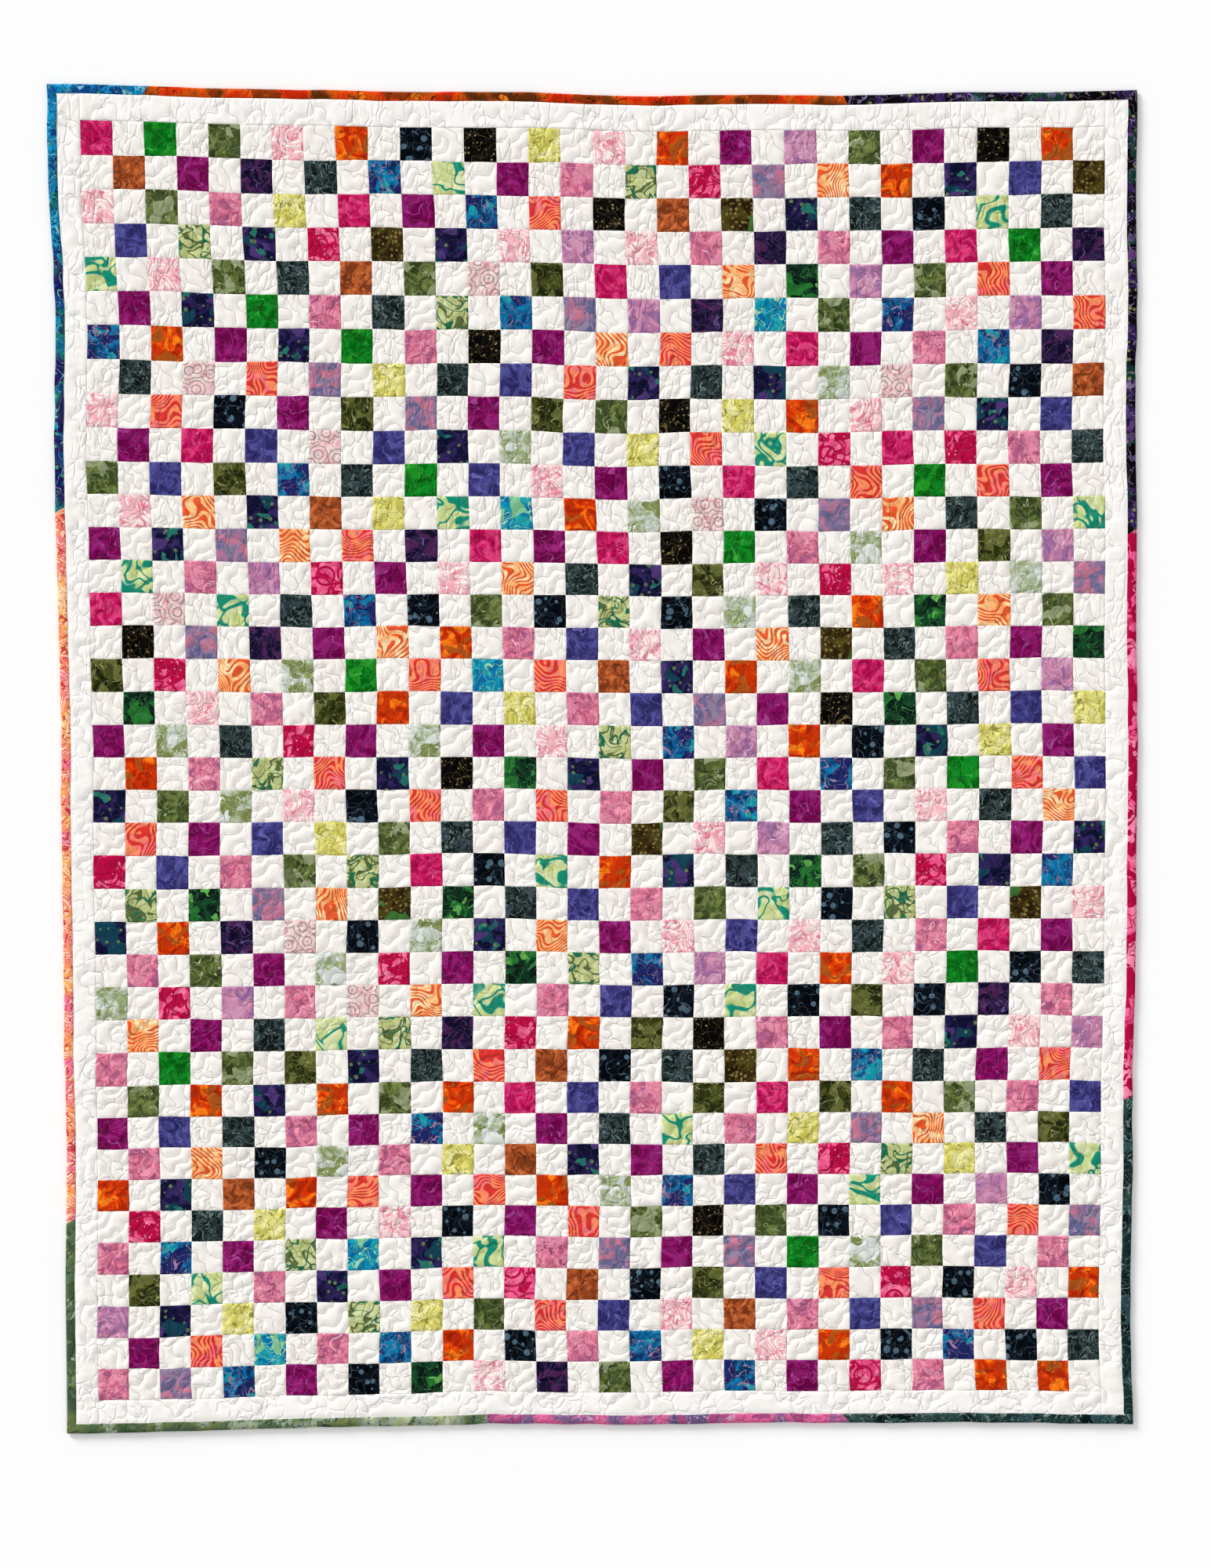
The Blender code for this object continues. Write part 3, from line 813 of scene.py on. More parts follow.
# %% Fabric table
FABRICS = [
    ("plum", 58, ["#680444", "#7e0858", "#922070"], 0.018, [("vines", 0.018, 0.012, "#9a4088")]),
    ("violet", 32, ["#2a2860", "#3a3678", "#4e4e92"], 0.016, [("vines", 0.016, 0.012, "#6260a4")]),
    ("raspberry", 18, ["#a80848", "#c4145c", "#da4078"], 0.016, [("vines", 0.016, 0.012, "#dc4c84")]),
    ("crimson", 18, ["#e04880", "#ec5c8c", "#f27c9e"], 0.018,
        [("vines", 0.020, 0.075, "#b40a42"), ("leaves", 0.017, 0.28, "#b00a40"),
         ("rings", 0.040, 0.45, "#b40a42"), ("pods", 0.008, 0.11, "#f29ab4")]),
    ("flame", 30, ["#aa2404", "#d43404", "#e84c06", "#f88018"], 0.020,
        [("leaves", 0.015, 0.26, "#c43204"), ("pools", 0.022, 0.42, "#a85218"),
         ("vines", 0.016, 0.010, "#a03408")]),
    ("sienna", 11, ["#7c3818", "#aa5026", "#c86a38"], 0.014, [("vines", 0.012, 0.018, "#6c3418")]),
    ("coral", 31, ["#f07880", "#f88464", "#fc9460"], 0.026,
        [("strokes", 0.0064, 0.52, "#d83430")]),
    ("amber", 18, ["#fca868", "#fcc080", "#fce0b0"], 0.024,
        [("strokes", 0.0064, 0.48, "#e4582c")]),
    ("rose", 44, ["#a85c84", "#c86888", "#dc7894", "#e890a8"], 0.018,
        [("leaves", 0.014, 0.20, "#dc88a2"), ("vines", 0.014, 0.015, "#a84c70"),
         ("vines", 0.019, 0.008, "#eca8ba")]),
    ("orchid", 15, ["#94689a", "#b4749c", "#cc8cac"], 0.018,
        [("leaves", 0.014, 0.20, "#cc94b2"), ("vines", 0.015, 0.010, "#d8aac4")]),
    ("blush", 31, ["#eeaab6", "#f2bec6", "#f6dad8"], 0.018,
        [("strokes", 0.0072, 0.26, "#faeeea"), ("vines", 0.012, 0.026, "#e08498")]),
    ("sketch", 8, ["#e8bcc0", "#ecd0ce", "#eedcd8"], 0.018,
        [("vines", 0.010, 0.024, "#e09ca8"), ("rings", 0.020, 0.30, "#8a827c")]),
    ("citron", 18, ["#ccc45c", "#e0da7c", "#ece6a4"], 0.018,
        [("vines", 0.011, 0.024, "#98923c"), ("pods", 0.007, 0.10, "#98923c")]),
    ("lime", 18, ["#c0cc84", "#ccd694", "#d8dfae"], 0.022,
        [("vines", 0.026, 0.080, "#7cbc98"), ("vines", 0.026, 0.062, "#14886e")]),
    ("meadow", 14, ["#b0b878", "#bec686", "#ccd4a0"], 0.022,
        [("vines", 0.018, 0.048, "#56663c"), ("vines", 0.025, 0.034, "#1e6a4c")]),
    ("moss", 31, ["#303c1a", "#4e5c2c", "#6c7a40"], 0.016,
        [("leaves", 0.012, 0.34, "#8c9670"), ("leaves", 0.012, 0.16, "#425028"),
         ("vines", 0.016, 0.009, "#a0a884")]),
    ("sage", 18, ["#8c9a68", "#aab694", "#c2cac0"], 0.016,
        [("leaves", 0.013, 0.36, "#7e8a50"), ("leaves", 0.013, 0.18, "#d4dad4"),
         ("vines", 0.012, 0.012, "#e0e4dc")]),
    ("olive", 17, ["#1c2208", "#2e340f", "#464c1c"], 0.016,
        [("leaves", 0.012, 0.30, "#5e6430"), ("vines", 0.012, 0.016, "#8a8a5c")]),
    ("emerald", 12, ["#045c10", "#067018", "#0e8824"], 0.016,
        [("leaves", 0.015, 0.16, "#1c8c20"), ("vines", 0.017, 0.009, "#3ca43c")]),
    ("slate", 35, ["#141e20", "#22302f", "#34444a"], 0.014,
        [("pools", 0.014, 0.42, "#0e1616"), ("vines", 0.0085, 0.026, "#647472")]),
    ("midnight", 31, ["#02050a", "#040a12", "#0a121c"], 0.020,
        [("vines", 0.018, 0.010, "#465868"), ("pods", 0.013, 0.26, "#4c6678")]),
    ("bronze", 11, ["#040302", "#080604", "#100c08"], 0.018,
        [("vines", 0.015, 0.010, "#5a4c2c"), ("pods", 0.007, 0.16, "#84764e")]),
    ("galaxy", 31, ["#0a0e2c", "#161238", "#30245a"], 0.018,
        [("leaves", 0.015, 0.22, "#123e50"), ("leaves", 0.008, 0.07, "#257264"),
         ("pods", 0.012, 0.17, "#5c7450"), ("leaves", 0.011, 0.08, "#4a3470")]),
    ("lagoon", 22, ["#06305c", "#0a5890", "#0c7aa8"], 0.018,
        [("leaves", 0.016, 0.24, "#1c2460"), ("leaves", 0.010, 0.10, "#1094a4"),
         ("vines", 0.013, 0.014, "#9c7c98"), ("pods", 0.010, 0.08, "#b0988c")]),
    ("jungle", 11, ["#081a14", "#0e2a1e", "#124424"], 0.018,
        [("leaves", 0.012, 0.30, "#226c2c"), ("leaves", 0.008, 0.08, "#60a44c"),
         ("vines", 0.014, 0.012, "#3c8444")]),
    ("umber", 8, ["#241a08", "#3c2c0c", "#4c4418"], 0.016,
        [("pods", 0.0055, 0.30, "#7c6e3c"), ("leaves", 0.016, 0.10, "#3c6c30")]),
    ("turquoise", 5, ["#0468a0", "#0684a8", "#24a0a8"], 0.018,
        [("leaves", 0.014, 0.16, "#7cbc8c"), ("vines", 0.014, 0.018, "#a4d4b4")]),
    ("dusk", 17, ["#64648c", "#8a7092", "#c0748c"], 0.020,
        [("vines", 0.014, 0.012, "#a88cac"), ("leaves", 0.014, 0.14, "#8c7c98")]),
    ("nightshade", 11, ["#100a28", "#1a1030", "#2c1c44"], 0.018,
        [("pools", 0.018, 0.46, "#48204e"), ("vines", 0.016, 0.010, "#5c4a80")]),
]


def overprinted(tree, cloth, colour, motifs, seed):
    """Lays motifs over a colour in turn."""
    for kind, size, weight, dye in motifs:
        mask = MOTIFS[kind](tree, cloth, size, weight, seed + 1)
        settings = {"data_type": "RGBA", 7: linear(dye)}
        colour = node(tree, "ShaderNodeMix", settings, {0: mask, 6: colour}).outputs[2]
    return colour


def batik(name, dyes, pool_size, motifs, seed):
    """A batik cotton: its ground of running dyes, and its motifs laid over it."""
    material, tree, cloth, shader = cotton_material(name + "_batik_cotton", BATIK_CREASE)
    ground = mottled(tree, cloth, dyes, pool_size, seed)
    tree.links.new(overprinted(tree, cloth, ground, motifs, seed), shader.inputs["Base Color"])
    return material


batiks = {
    name: batik(name, dyes, pool_size, motifs, seed)
    for seed, (name, _, dyes, pool_size, motifs) in enumerate(FABRICS)
}
print("batiks:", len(batiks), "for", sum(count for _, count, *_ in FABRICS), "squares")

# %% [markdown]
# ## Which fabric goes where
#
# A maker of a scrap quilt shuffles the squares and swaps any that meet their own kind. The same is done
# here: the squares are dealt from the pile at random, but not next to one of the same fabric.

# %% Deal the squares
DEAL_SEED = 21


def deal_squares(seed):
    """A fabric for each coloured square, as lists of (row from the top, column) for each fabric."""
    chance = random.Random(seed)
    left = {name: count for name, count, *_ in FABRICS}
    dealt = {}
    for row in range(ROWS):
        for column in range(row % 2, COLUMNS, 2):
            beside = [(row - 1, column - 1), (row - 1, column + 1), (row, column - 2), (row - 2, column)]
            nearby = {dealt.get(place) for place in beside}
            in_pile = [name for name in left if left[name]]
            choice = [name for name in in_pile if name not in nearby] or in_pile
            name = chance.choices(choice, [left[one] for one in choice])[0]
            left[name] -= 1
            dealt[row, column] = name
    return {name: [place for place in dealt if dealt[place] == name] for name in left}


squares = deal_squares(DEAL_SEED)
print("squares dealt:", sum(map(len, squares.values())), "of", COLUMNS * ROWS // 2)

# %% [markdown]
# ## One patch
#
# Each square is a small sheet whose edges turn down into the seams. The grid is finer beside the seams,
# where the cloth bends most. The seam allowances are pressed under the coloured squares, as usual, so that
# they don't show through the white, and they lift the coloured edge a little. Each coloured square is cut
# from its own place in its fabric and turned by quarter turns, so no two squares show the same motif.

# %% Patch helpers
SEAM_DIP = 0.0003
SEAM_WIDTH = 0.0008
ALLOWANCE_LIFT = 0.00035
ALLOWANCE_REACH = 0.005
EDGE_SHARES = [0.0, 0.018, 0.05]
CUT_WOBBLE = 0.05
CLOTH_SPAN = 2.0


def patch_lines(inner):
    """Shares across a patch where its grid lines run, closer beside the seams."""
    middle = np.linspace(EDGE_SHARES[-1], 1 - EDGE_SHARES[-1], inner + 1)[1:-1]
    return np.concatenate([EDGE_SHARES, middle, [1 - share for share in reversed(EDGE_SHARES)]])


def seam_height(from_seam, lift, dip):
    """How the height changes beside a seam."""
    turned_down = np.exp(-((from_seam / SEAM_WIDTH) ** 2))
    return lift * np.exp(-from_seam / ALLOWANCE_REACH) * (1 - turned_down) - dip * turned_down


def cut_anew(here, seed):
    """Cloth coordinates of squares that are each cut from their own place and turned their own way."""
    cut = np.random.default_rng(seed)
    count = len(here)
    angle = cut.integers(0, 4, count) * math.pi / 2 + cut.normal(0, CUT_WOBBLE, count)
    cos, sin = np.cos(angle)[:, None, None], np.sin(angle)[:, None, None]
    place = cut.uniform(0, CLOTH_SPAN, (count, 1, 1, 2))
    turned = [here[..., 0] * cos - here[..., 1] * sin, here[..., 0] * sin + here[..., 1] * cos]
    return np.stack(turned, axis=-1) + place


print("a patch is lifted by up to", ALLOWANCE_LIFT, "and turned down by", SEAM_DIP, "m at its seams")

# %% [markdown]
# ## All the patches
#
# The squares of one fabric are worked out together as one block of numbers and become a single object. The
# whites are too many for one, so each quarter of the quilt has its own.

# %% Patch sheets
WHITE_INNER = 15
BATIK_INNER = 11


def patches(name, places, inner, material, lift, seed):
    """All the squares of one fabric as a single object, cut anew if there is a seed."""
    lines = patch_lines(inner)
    rows, columns = np.array(places).T
    low = ROWS - 1 - rows
    left, right = COLUMN_SEAMS[columns], COLUMN_SEAMS[columns + 1]
    bottom, top = ROW_SEAMS[low], ROW_SEAMS[low + 1]
    across = left[:, None, None] + (right - left)[:, None, None] * lines[None, None, :]
    up = bottom[:, None, None] + (top - bottom)[:, None, None] * lines[None, :, None]
    across, up = np.broadcast_arrays(across, up)
    edge_across = np.minimum(lines, 1 - lines)[None, None, :] * PATCH_WIDTH
    edge_up = np.minimum(lines, 1 - lines)[None, :, None] * PATCH_WIDTH
    from_seam = np.minimum(edge_across, edge_up) + np.zeros_like(across)
    across, up = snapped(across, up, from_seam > SEAM_WIDTH)
    height = quilted_height(across, up) + seam_height(from_seam, lift, SEAM_DIP)
    points = np.stack([*laid(across, up), height], axis=-1)
    cloth = np.stack([across, up], axis=-1)
    if seed:
        cloth = cut_anew(cloth - np.stack([left, bottom], axis=-1)[:, None, None, :], seed)
    side = len(lines)
    piece = cloth_object(name, points, grid_quads(len(places), side, side), cloth, material)
    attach(piece, "root")
    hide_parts("patchwork")


white_places = [(row, column) for row in range(ROWS) for column in range(1 - row % 2, COLUMNS, 2)]
for low_half, end in enumerate(["top", "bottom"]):
    for right_half, side in enumerate(["left", "right"]):
        quarter = [
            (row, column) for row, column in white_places
            if (row >= ROWS // 2) == low_half and (column >= COLUMNS // 2) == right_half
        ]
        patches(f"white_patches_{end}_{side}", quarter, WHITE_INNER, bleached_cotton, 0.0, 0)
for number, (name, places) in enumerate(squares.items(), start=1):
    patches(name + "_batik_patches", places, BATIK_INNER, batiks[name], ALLOWANCE_LIFT, number)
print("patch objects:", len(pieces))

# %% [markdown]
# ## The borders
#
# The white border strips carry the same quilting. Their inner edge turns down into the seam with the
# patchwork, and their outer edge is pressed flat where it goes under the binding.

# %% Border strips
BORDER_STEP = 0.0025
BORDER_SEAM_DIP = 0.0006
SEAM_LINES = np.array([0.0, 0.0008, 0.0018])
UNDER_BINDING = 0.0020
LIP_HEIGHT = 0.0043
LIP_WIDTH = 0.007
LIP_CURVE = 0.7
TUCKED_DROP = 0.0004


def strip_lines(low, high):
    """Evenly spaced lines from low to high with two extra close to each end."""
    inner = np.linspace(low, high, max(2, round((high - low) / BORDER_STEP)) + 1)[1:-1]
    inner = inner[(inner > low + BORDER_STEP) & (inner < high - BORDER_STEP)]
    return np.concatenate([low + SEAM_LINES, inner, (high - SEAM_LINES)[::-1]])


def border_strip(name, node_name, span_across, span_up, seams):
    """One border strip between sewn distances, turned down at its seams and pressed flat at the binding."""
    (left, right), (bottom, top) = span_across, span_up
    across, up = np.meshgrid(strip_lines(left, right), strip_lines(bottom, top))
    inner = np.minimum.reduce([across - left, right - across, up - bottom, top - up]) > SEAM_WIDTH
    across, up = snapped(across, up, inner)
    from_edge = np.minimum.reduce([across, SEWN_WIDTH - across, up, SEWN_HEIGHT - up]) - BINDING_FACE
    from_side = {"left": across - left, "right": right - across, "bottom": up - bottom, "top": top - up}
    from_seam = np.minimum.reduce([from_side[seam] for seam in seams])
    swollen = quilted_height(across, up) + seam_height(from_seam, 0.0, BORDER_SEAM_DIP)
    pressed = np.clip(from_edge / LIP_WIDTH, 0.0, 1.0) ** LIP_CURVE
    height = LIP_HEIGHT + (swollen - LIP_HEIGHT) * pressed
    height = np.where(from_edge < 0, LIP_HEIGHT - TUCKED_DROP, height)
    points = np.stack([*laid(across, up), height], axis=-1)
    cloth = np.stack([across, up], axis=-1)
    piece = cloth_object(name, points, grid_quads(1, *across.shape), cloth, border_cotton)
    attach(piece, "root")
    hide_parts(node_name)


tuck = BINDING_FACE - UNDER_BINDING
left_span, right_span = (tuck, SIDE_INSET), (SEWN_WIDTH - SIDE_INSET, SEWN_WIDTH - tuck)
full_height = (tuck, SEWN_HEIGHT - tuck)
between_sides = (SIDE_INSET, SEWN_WIDTH - SIDE_INSET)
border_strip("white_border_left", "border_left", left_span, full_height, ["right"])
border_strip("white_border_right", "border_right", right_span, full_height, ["left"])
top_span, bottom_span = (ROW_SEAMS[-1], SEWN_HEIGHT - tuck), (tuck, ROW_SEAMS[0])
border_strip("white_border_top", "border_top", between_sides, top_span, ["left", "right", "bottom"])
border_strip("white_border_bottom", "border_bottom", between_sides, bottom_span, ["left", "right", "top"])
print("pieces so far:", len(pieces))

# %% [markdown]
# ## The binding's batiks
#
# The binding is pieced from eight batiks. Each one's dyes change every few centimetres along the strip, and
# three of them also drift from one set of dyes to another between their joins, so a slow gradient along the
# strip is added to the noise that picks the dye. The table gives the dyes, the drift and the motifs.

# %% Binding fabrics
BINDING_FABRICS = {
    "binding_bottom": (["#5c5078", "#7a5c88", "#c45888", "#d85c90"], 0.0,
        [("vines", 0.011, 0.018, "#c494b4"), ("leaves", 0.014, 0.14, "#9c4878")]),
    "binding_bottom_right": (["#081618", "#102426", "#1a3230", "#28423e"], 0.0,
        [("leaves", 0.012, 0.24, "#28464a"), ("vines", 0.010, 0.020, "#6c807c")]),
    "binding_right": (["#e0407a", "#ec5c90", "#f488ac"], 0.0,
        [("leaves", 0.013, 0.38, "#b00a42"), ("vines", 0.012, 0.060, "#a8083e")]),
    "binding_top_right": (["#060408", "#0a070e", "#0e0a12", "#38225e", "#1c1228"], 0.0,
        [("leaves", 0.014, 0.12, "#14362e"), ("leaves", 0.008, 0.07, "#2c7468"),
         ("pods", 0.012, 0.17, "#7c8450"), ("leaves", 0.008, 0.06, "#5c3a70"),
         ("vines", 0.013, 0.014, "#76688c")]),
    "binding_top": (["#5c2c0c", "#8c4012", "#d45410", "#dc380c", "#c02808"], 0.0,
        [("leaves", 0.015, 0.22, "#8c340c"), ("leaves", 0.013, 0.06, "#ec8018"),
         ("vines", 0.011, 0.014, "#4c1c0a")]),
    "binding_top_left": (
        ["#0c4c94", "#0c84b8", "#1494c4", "#0e6a9c", "#147468", "#2c2452", "#1e1856", "#18124c"], 0.26,
        [("leaves", 0.012, 0.26, "#0c4480"), ("leaves", 0.010, 0.07, "#1488ac"),
         ("vines", 0.011, 0.030, "#0a3468"), ("pods", 0.012, 0.16, "#3c8c74"),
         ("vines", 0.015, 0.010, "#78b8c0")]),
    "binding_left": (["#f0789c", "#f4847c", "#f69468", "#faa858", "#fcd098"], -0.10,
        [("strokes", 0.0056, 0.24, "#fad0b0"), ("vines", 0.010, 0.036, "#c83c40")]),
    "binding_bottom_left": (
        ["#344a30", "#40563a", "#4c6244", "#6c7846", "#889a8c", "#a4ac80", "#c4ccba"], 0.20,
        [("leaves", 0.010, 0.16, "#587050"), ("leaves", 0.007, 0.08, "#90a088"),
         ("vines", 0.010, 0.018, "#34483a")]),
}
DYE_RUN = 0.045
DYE_SPREAD = 0.14
DRIFT_SPREAD = 0.8
BINDING_CREASE = 0.0008


def binding_batik(name, length, seed):
    """A batik cut into binding, whose dyes run along the strip and may drift from its start to its end."""
    dyes, drift, motifs = BINDING_FABRICS[name]
    material, tree, cloth, shader = cotton_material(name + "_batik_cotton", BINDING_CREASE)
    settings = {"noise_dimensions": "2D", "Scale": 1 / DYE_RUN, "Detail": 2.0, "Distortion": 0.4}
    noise = node(tree, "ShaderNodeTexNoise", settings, {"Vector": shifted(tree, cloth, seed)})
    along = node(tree, "ShaderNodeSeparateXYZ", (), {0: cloth}).outputs[0]
    share = {"From Min": 0.0, "From Max": length, "To Min": -drift, "To Max": drift}
    drifted = node(tree, "ShaderNodeMapRange", share, {"Value": along})
    value = node(tree, "ShaderNodeMath", {"operation": "ADD"}, {0: noise.outputs[0], 1: drifted.outputs[0]})
    spread = DYE_SPREAD + DRIFT_SPREAD * abs(drift)
    ground = dye_ramp(tree, value.outputs[0], dyes, 0.5 - spread, 0.5 + spread)
    tree.links.new(overprinted(tree, cloth, ground, motifs, seed), shader.inputs["Base Color"])
    return material


print("binding batiks:", len(BINDING_FABRICS))

# %% [markdown]
# ## The binding's profile and joins
#
# A binding is a strip of batik folded over the raw edge and sewn down on both faces. Its profile starts on
# the face of the quilt, goes out round the edge and comes back underneath. The strip is pieced from eight
# lengths that are joined on the slant. The table gives each join: the side, how far along it, its slant, and
# the node and slot of the piece that starts there.

# %% Binding joins and profile
BINDING_JOINS = [
    ("bottom", 0.5065, -0.0030, "binding_bottom", "binding_mauve_batik"),
    ("bottom", 0.9380, -0.0100, "binding_bottom_right", "binding_dark_green_batik"),
    ("right", 0.3880, -0.0045, "binding_right", "binding_pink_batik"),
    ("right", 1.0600, -0.0060, "binding_top_right", "binding_purple_batik"),
    ("top", 0.3427, -0.0050, "binding_top", "binding_orange_batik"),
    ("top", 1.1665, 0.0058, "binding_top_left", "binding_blue_batik"),
    ("left", 0.5000, -0.0070, "binding_left", "binding_peach_batik"),
    ("left", 1.3335, -0.0055, "binding_bottom_left", "binding_moss_batik"),
]
SIDE_ORDER = ["bottom", "right", "top", "left"]
SIDE_LENGTHS = {"bottom": SEWN_WIDTH, "right": SEWN_HEIGHT, "top": SEWN_WIDTH, "left": SEWN_HEIGHT}
BINDING_PROFILE = [
    (0.0113, 0.0038), (0.0112, 0.0042), (0.0106, 0.0045), (0.0090, 0.0048), (0.0066, 0.0050),
    (0.0042, 0.0050), (0.0022, 0.0047), (0.0009, 0.0041), (0.0002, 0.0031), (0.0002, 0.0019),
    (0.0009, 0.0009), (0.0022, 0.0004), (0.0060, 0.0003), (0.0113, 0.0003),
]
profile_in, profile_height = np.array(BINDING_PROFILE).T
profile_run = np.concatenate([[0.0], np.cumsum(np.hypot(np.diff(profile_in), np.diff(profile_height)))])


def edge_point(side, along, inward):
    """Distances from the left and bottom edges of a point by a side, which is walked anticlockwise."""
    places = {
        "bottom": (along, inward),
        "right": (SEWN_WIDTH - inward, along),
        "top": (SEWN_WIDTH - along, SEWN_HEIGHT - inward),
        "left": (inward, SEWN_HEIGHT - along),
    }
    return places[side]


print("the binding is", round(1000 * float(profile_run[-1]), 1), "mm wide before it is folded")

# %% [markdown]
# ## The binding's sections
#
# Each piece of binding is a row of cross-sections that follow the edge, walked anticlockwise. It turns each
# corner with a folded mitre: there the section's points lie on the diagonal, and a small dip shows the fold.
# A join has a slanted section and a smaller dip. On the upper side the fold is a little plumper in some
# places than in others.

# %% Binding sections
BINDING_STEP = 0.0040
JOIN_CLEAR = 0.008
MITRE_CLEAR = 0.0135
AFTER_MITRE = 0.0055
SECTION_DIPS = {"mitre": 0.0005, "join": 0.0003, "plain": 0.0}
PLUMP = 0.0008
PLUMP_CLOUD = (0.013, 0.013, 31)
UPPER_SIDE_FROM = 0.003
UPPER_SIDE_RISE = 0.002


def binding_stops(start, end):
    """The sections from one join to the next: side, distance along it, slant and kind of each."""
    (side, place, slant), (last_side, last_place, last_slant) = start, end
    stops = [(side, place, slant, "join")]
    while side != last_side:
        length = SIDE_LENGTHS[side]
        steps = round((length - BINDING_FACE - place) / BINDING_STEP)
        places = np.linspace(place + JOIN_CLEAR, length - MITRE_CLEAR, steps)
        stops += [(side, stop, 0.0, "plain") for stop in places] + [(side, length, 0.0, "mitre")]
        side = SIDE_ORDER[(SIDE_ORDER.index(side) + 1) % 4]
        place = AFTER_MITRE
    steps = max(2, round((last_place - place) / BINDING_STEP))
    places = np.linspace(place + JOIN_CLEAR, last_place - JOIN_CLEAR, steps)
    stops += [(side, stop, 0.0, "plain") for stop in places]
    return stops + [(last_side, last_place, last_slant, "join")]


def binding_section(stop):
    """The points of one cross-section, in sewn distances and height."""
    side, along, slant, kind = stop
    if kind == "mitre":
        across, up = edge_point(side, along - profile_in, profile_in)
    else:
        across, up = edge_point(side, along + slant * (profile_in / BINDING_FACE - 0.5), profile_in)
    across, up = np.broadcast_arrays(across, up)
    upper_side = np.clip((profile_height - UPPER_SIDE_FROM) / UPPER_SIDE_RISE, 0.0, 1.0)
    plump = PLUMP * (cloud(across, up, *PLUMP_CLOUD) - 0.5)
    return across, up, profile_height + upper_side * (plump - SECTION_DIPS[kind])


first_stops = binding_stops(BINDING_JOINS[0][:3], BINDING_JOINS[1][:3])
print("the first strip has", len(first_stops), "sections")

# %% [markdown]
# ## The binding's strips
#
# Quads between neighbouring sections make each strip one sheet. Its cloth coordinates are the distance run
# along the middle of the binding's face and the distance round the fold, so the batik isn't stretched.

# %% Binding strips
FACE_POINT = 4
FIRST_BINDING_SEED = 40


def binding_strip(name, start, end, seed):
    """A strip of binding as one sheet, folded over the edge."""
    sections = [binding_section(stop) for stop in binding_stops(start, end)]
    across, up, height = (np.array(values) for values in zip(*sections))
    x, y = laid(across, up)
    points = np.stack([x, y, height], axis=-1)
    middle = points[:, FACE_POINT, :2]
    run = np.concatenate([[0.0], np.cumsum(np.linalg.norm(np.diff(middle, axis=0), axis=1))])
    length = float(run[-1])
    run, around = np.broadcast_arrays(run[:, None], profile_run[None, :])
    quads = grid_quads(1, *height.shape)[:, ::-1]
    material = binding_batik(name, length, seed)
    piece = cloth_object(name + "_strip", points, quads, np.stack([run, around], axis=-1), material)
    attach(piece, "root")
    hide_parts(name)


next_joins = BINDING_JOINS[1:] + BINDING_JOINS[:1]
for number, (join, following) in enumerate(zip(BINDING_JOINS, next_joins)):
    binding_strip(join[3], join[:3], following[:3], FIRST_BINDING_SEED + number)
print("pieces with the binding:", len(pieces))

# %% [markdown]
# ## The backing
#
# The underside is hidden, so it is finished plainly: one piece of white cotton that follows the quilting
# faintly, just off the floor, with its edge under the binding.

# %% Backing sheet
BACKING_STEP = 0.014
BACKING_DIMPLE = 0.0009
BACKING_CLEAR = 0.0003


def backing():
    """The plain sheet under the quilt, dimpled upwards along the quilting."""
    edge = BINDING_FACE - UNDER_BINDING
    columns = np.linspace(edge, SEWN_WIDTH - edge, round(SEWN_WIDTH / BACKING_STEP))
    rows = np.linspace(edge, SEWN_HEIGHT - edge, round(SEWN_HEIGHT / BACKING_STEP))
    across, up = np.meshgrid(columns, rows)
    distance = CELL * read_raster(stitch_distances, across, up)
    height = BACKING_CLEAR + BACKING_DIMPLE * np.maximum(0.0, 1 - distance / PUFF_REACH)
    points = np.stack([*laid(across, up), height], axis=-1)
    quads = grid_quads(1, *across.shape)[:, ::-1]
    piece = cloth_object("quilt_backing", points, quads, np.stack([across, up], axis=-1), backing_cotton)
    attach(piece, "root")


backing()
print("pieces with the backing:", len(pieces))

# %% [markdown]
# ## The colour of the thread
#
# The quilting shows as grey lines on the white squares and hardly at all on the coloured ones, as with the
# fine clear nylon thread that quilters use on many-coloured tops. It takes on the tone of what is under it.
# A clear tube would cost much light and many faces, so the thread is an opaque ribbon here, and its colour
# is worked out point by point: part of the cloth's own colour and a little grey. Keeping less than half of
# the cloth's colour is painted shade, as of the groove the thread lies in, and that painted shade is what
# makes the grey lines on the white squares.

# %% Tone of the cloth under the thread, with painted shade
# Only this share of the cloth's colour is kept in the thread; the rest is taken away as painted shade of its
# groove.
SHADED_CLOTH_SHARE = 0.42
THREAD_GREY = 0.045


def cloth_tones():
    """The middle dye of each square, in linear light, as a table of rows and columns."""
    tones = np.tile(linear(BLEACHED[1])[:3], (ROWS, COLUMNS, 1))
    for name, _, dyes, *_ in FABRICS:
        for place in squares[name]:
            tones[place] = linear(dyes[len(dyes) // 2])[:3]
    return tones


def shaded_thread_tones(across, up):
    """The thread's colour at sewn points, in linear light with alpha: the cloth under it, cut down as painted
    shade, and a little grey.
    """
    column = np.searchsorted(COLUMN_SEAMS, across) - 1
    row = ROWS - np.searchsorted(ROW_SEAMS, up)
    on_square = (column >= 0) & (column < COLUMNS) & (row >= 0) & (row < ROWS)
    under = cloth_tones()[np.clip(row, 0, ROWS - 1), np.clip(column, 0, COLUMNS - 1)]
    under = np.where(on_square[..., None], under, linear(BLEACHED[1])[:3])
    # Painted shade: the cloth's colour is cut to less than half, darkening the thread as the shadow of its
    # groove would.
    return np.concatenate([SHADED_CLOTH_SHARE * under + THREAD_GREY, np.ones_like(under[..., :1])], axis=-1)


on_white = SHADED_CLOTH_SHARE * linear(BLEACHED[1])[0] + THREAD_GREY
print("thread on white reflects", round(on_white, 2), "and on black", THREAD_GREY)

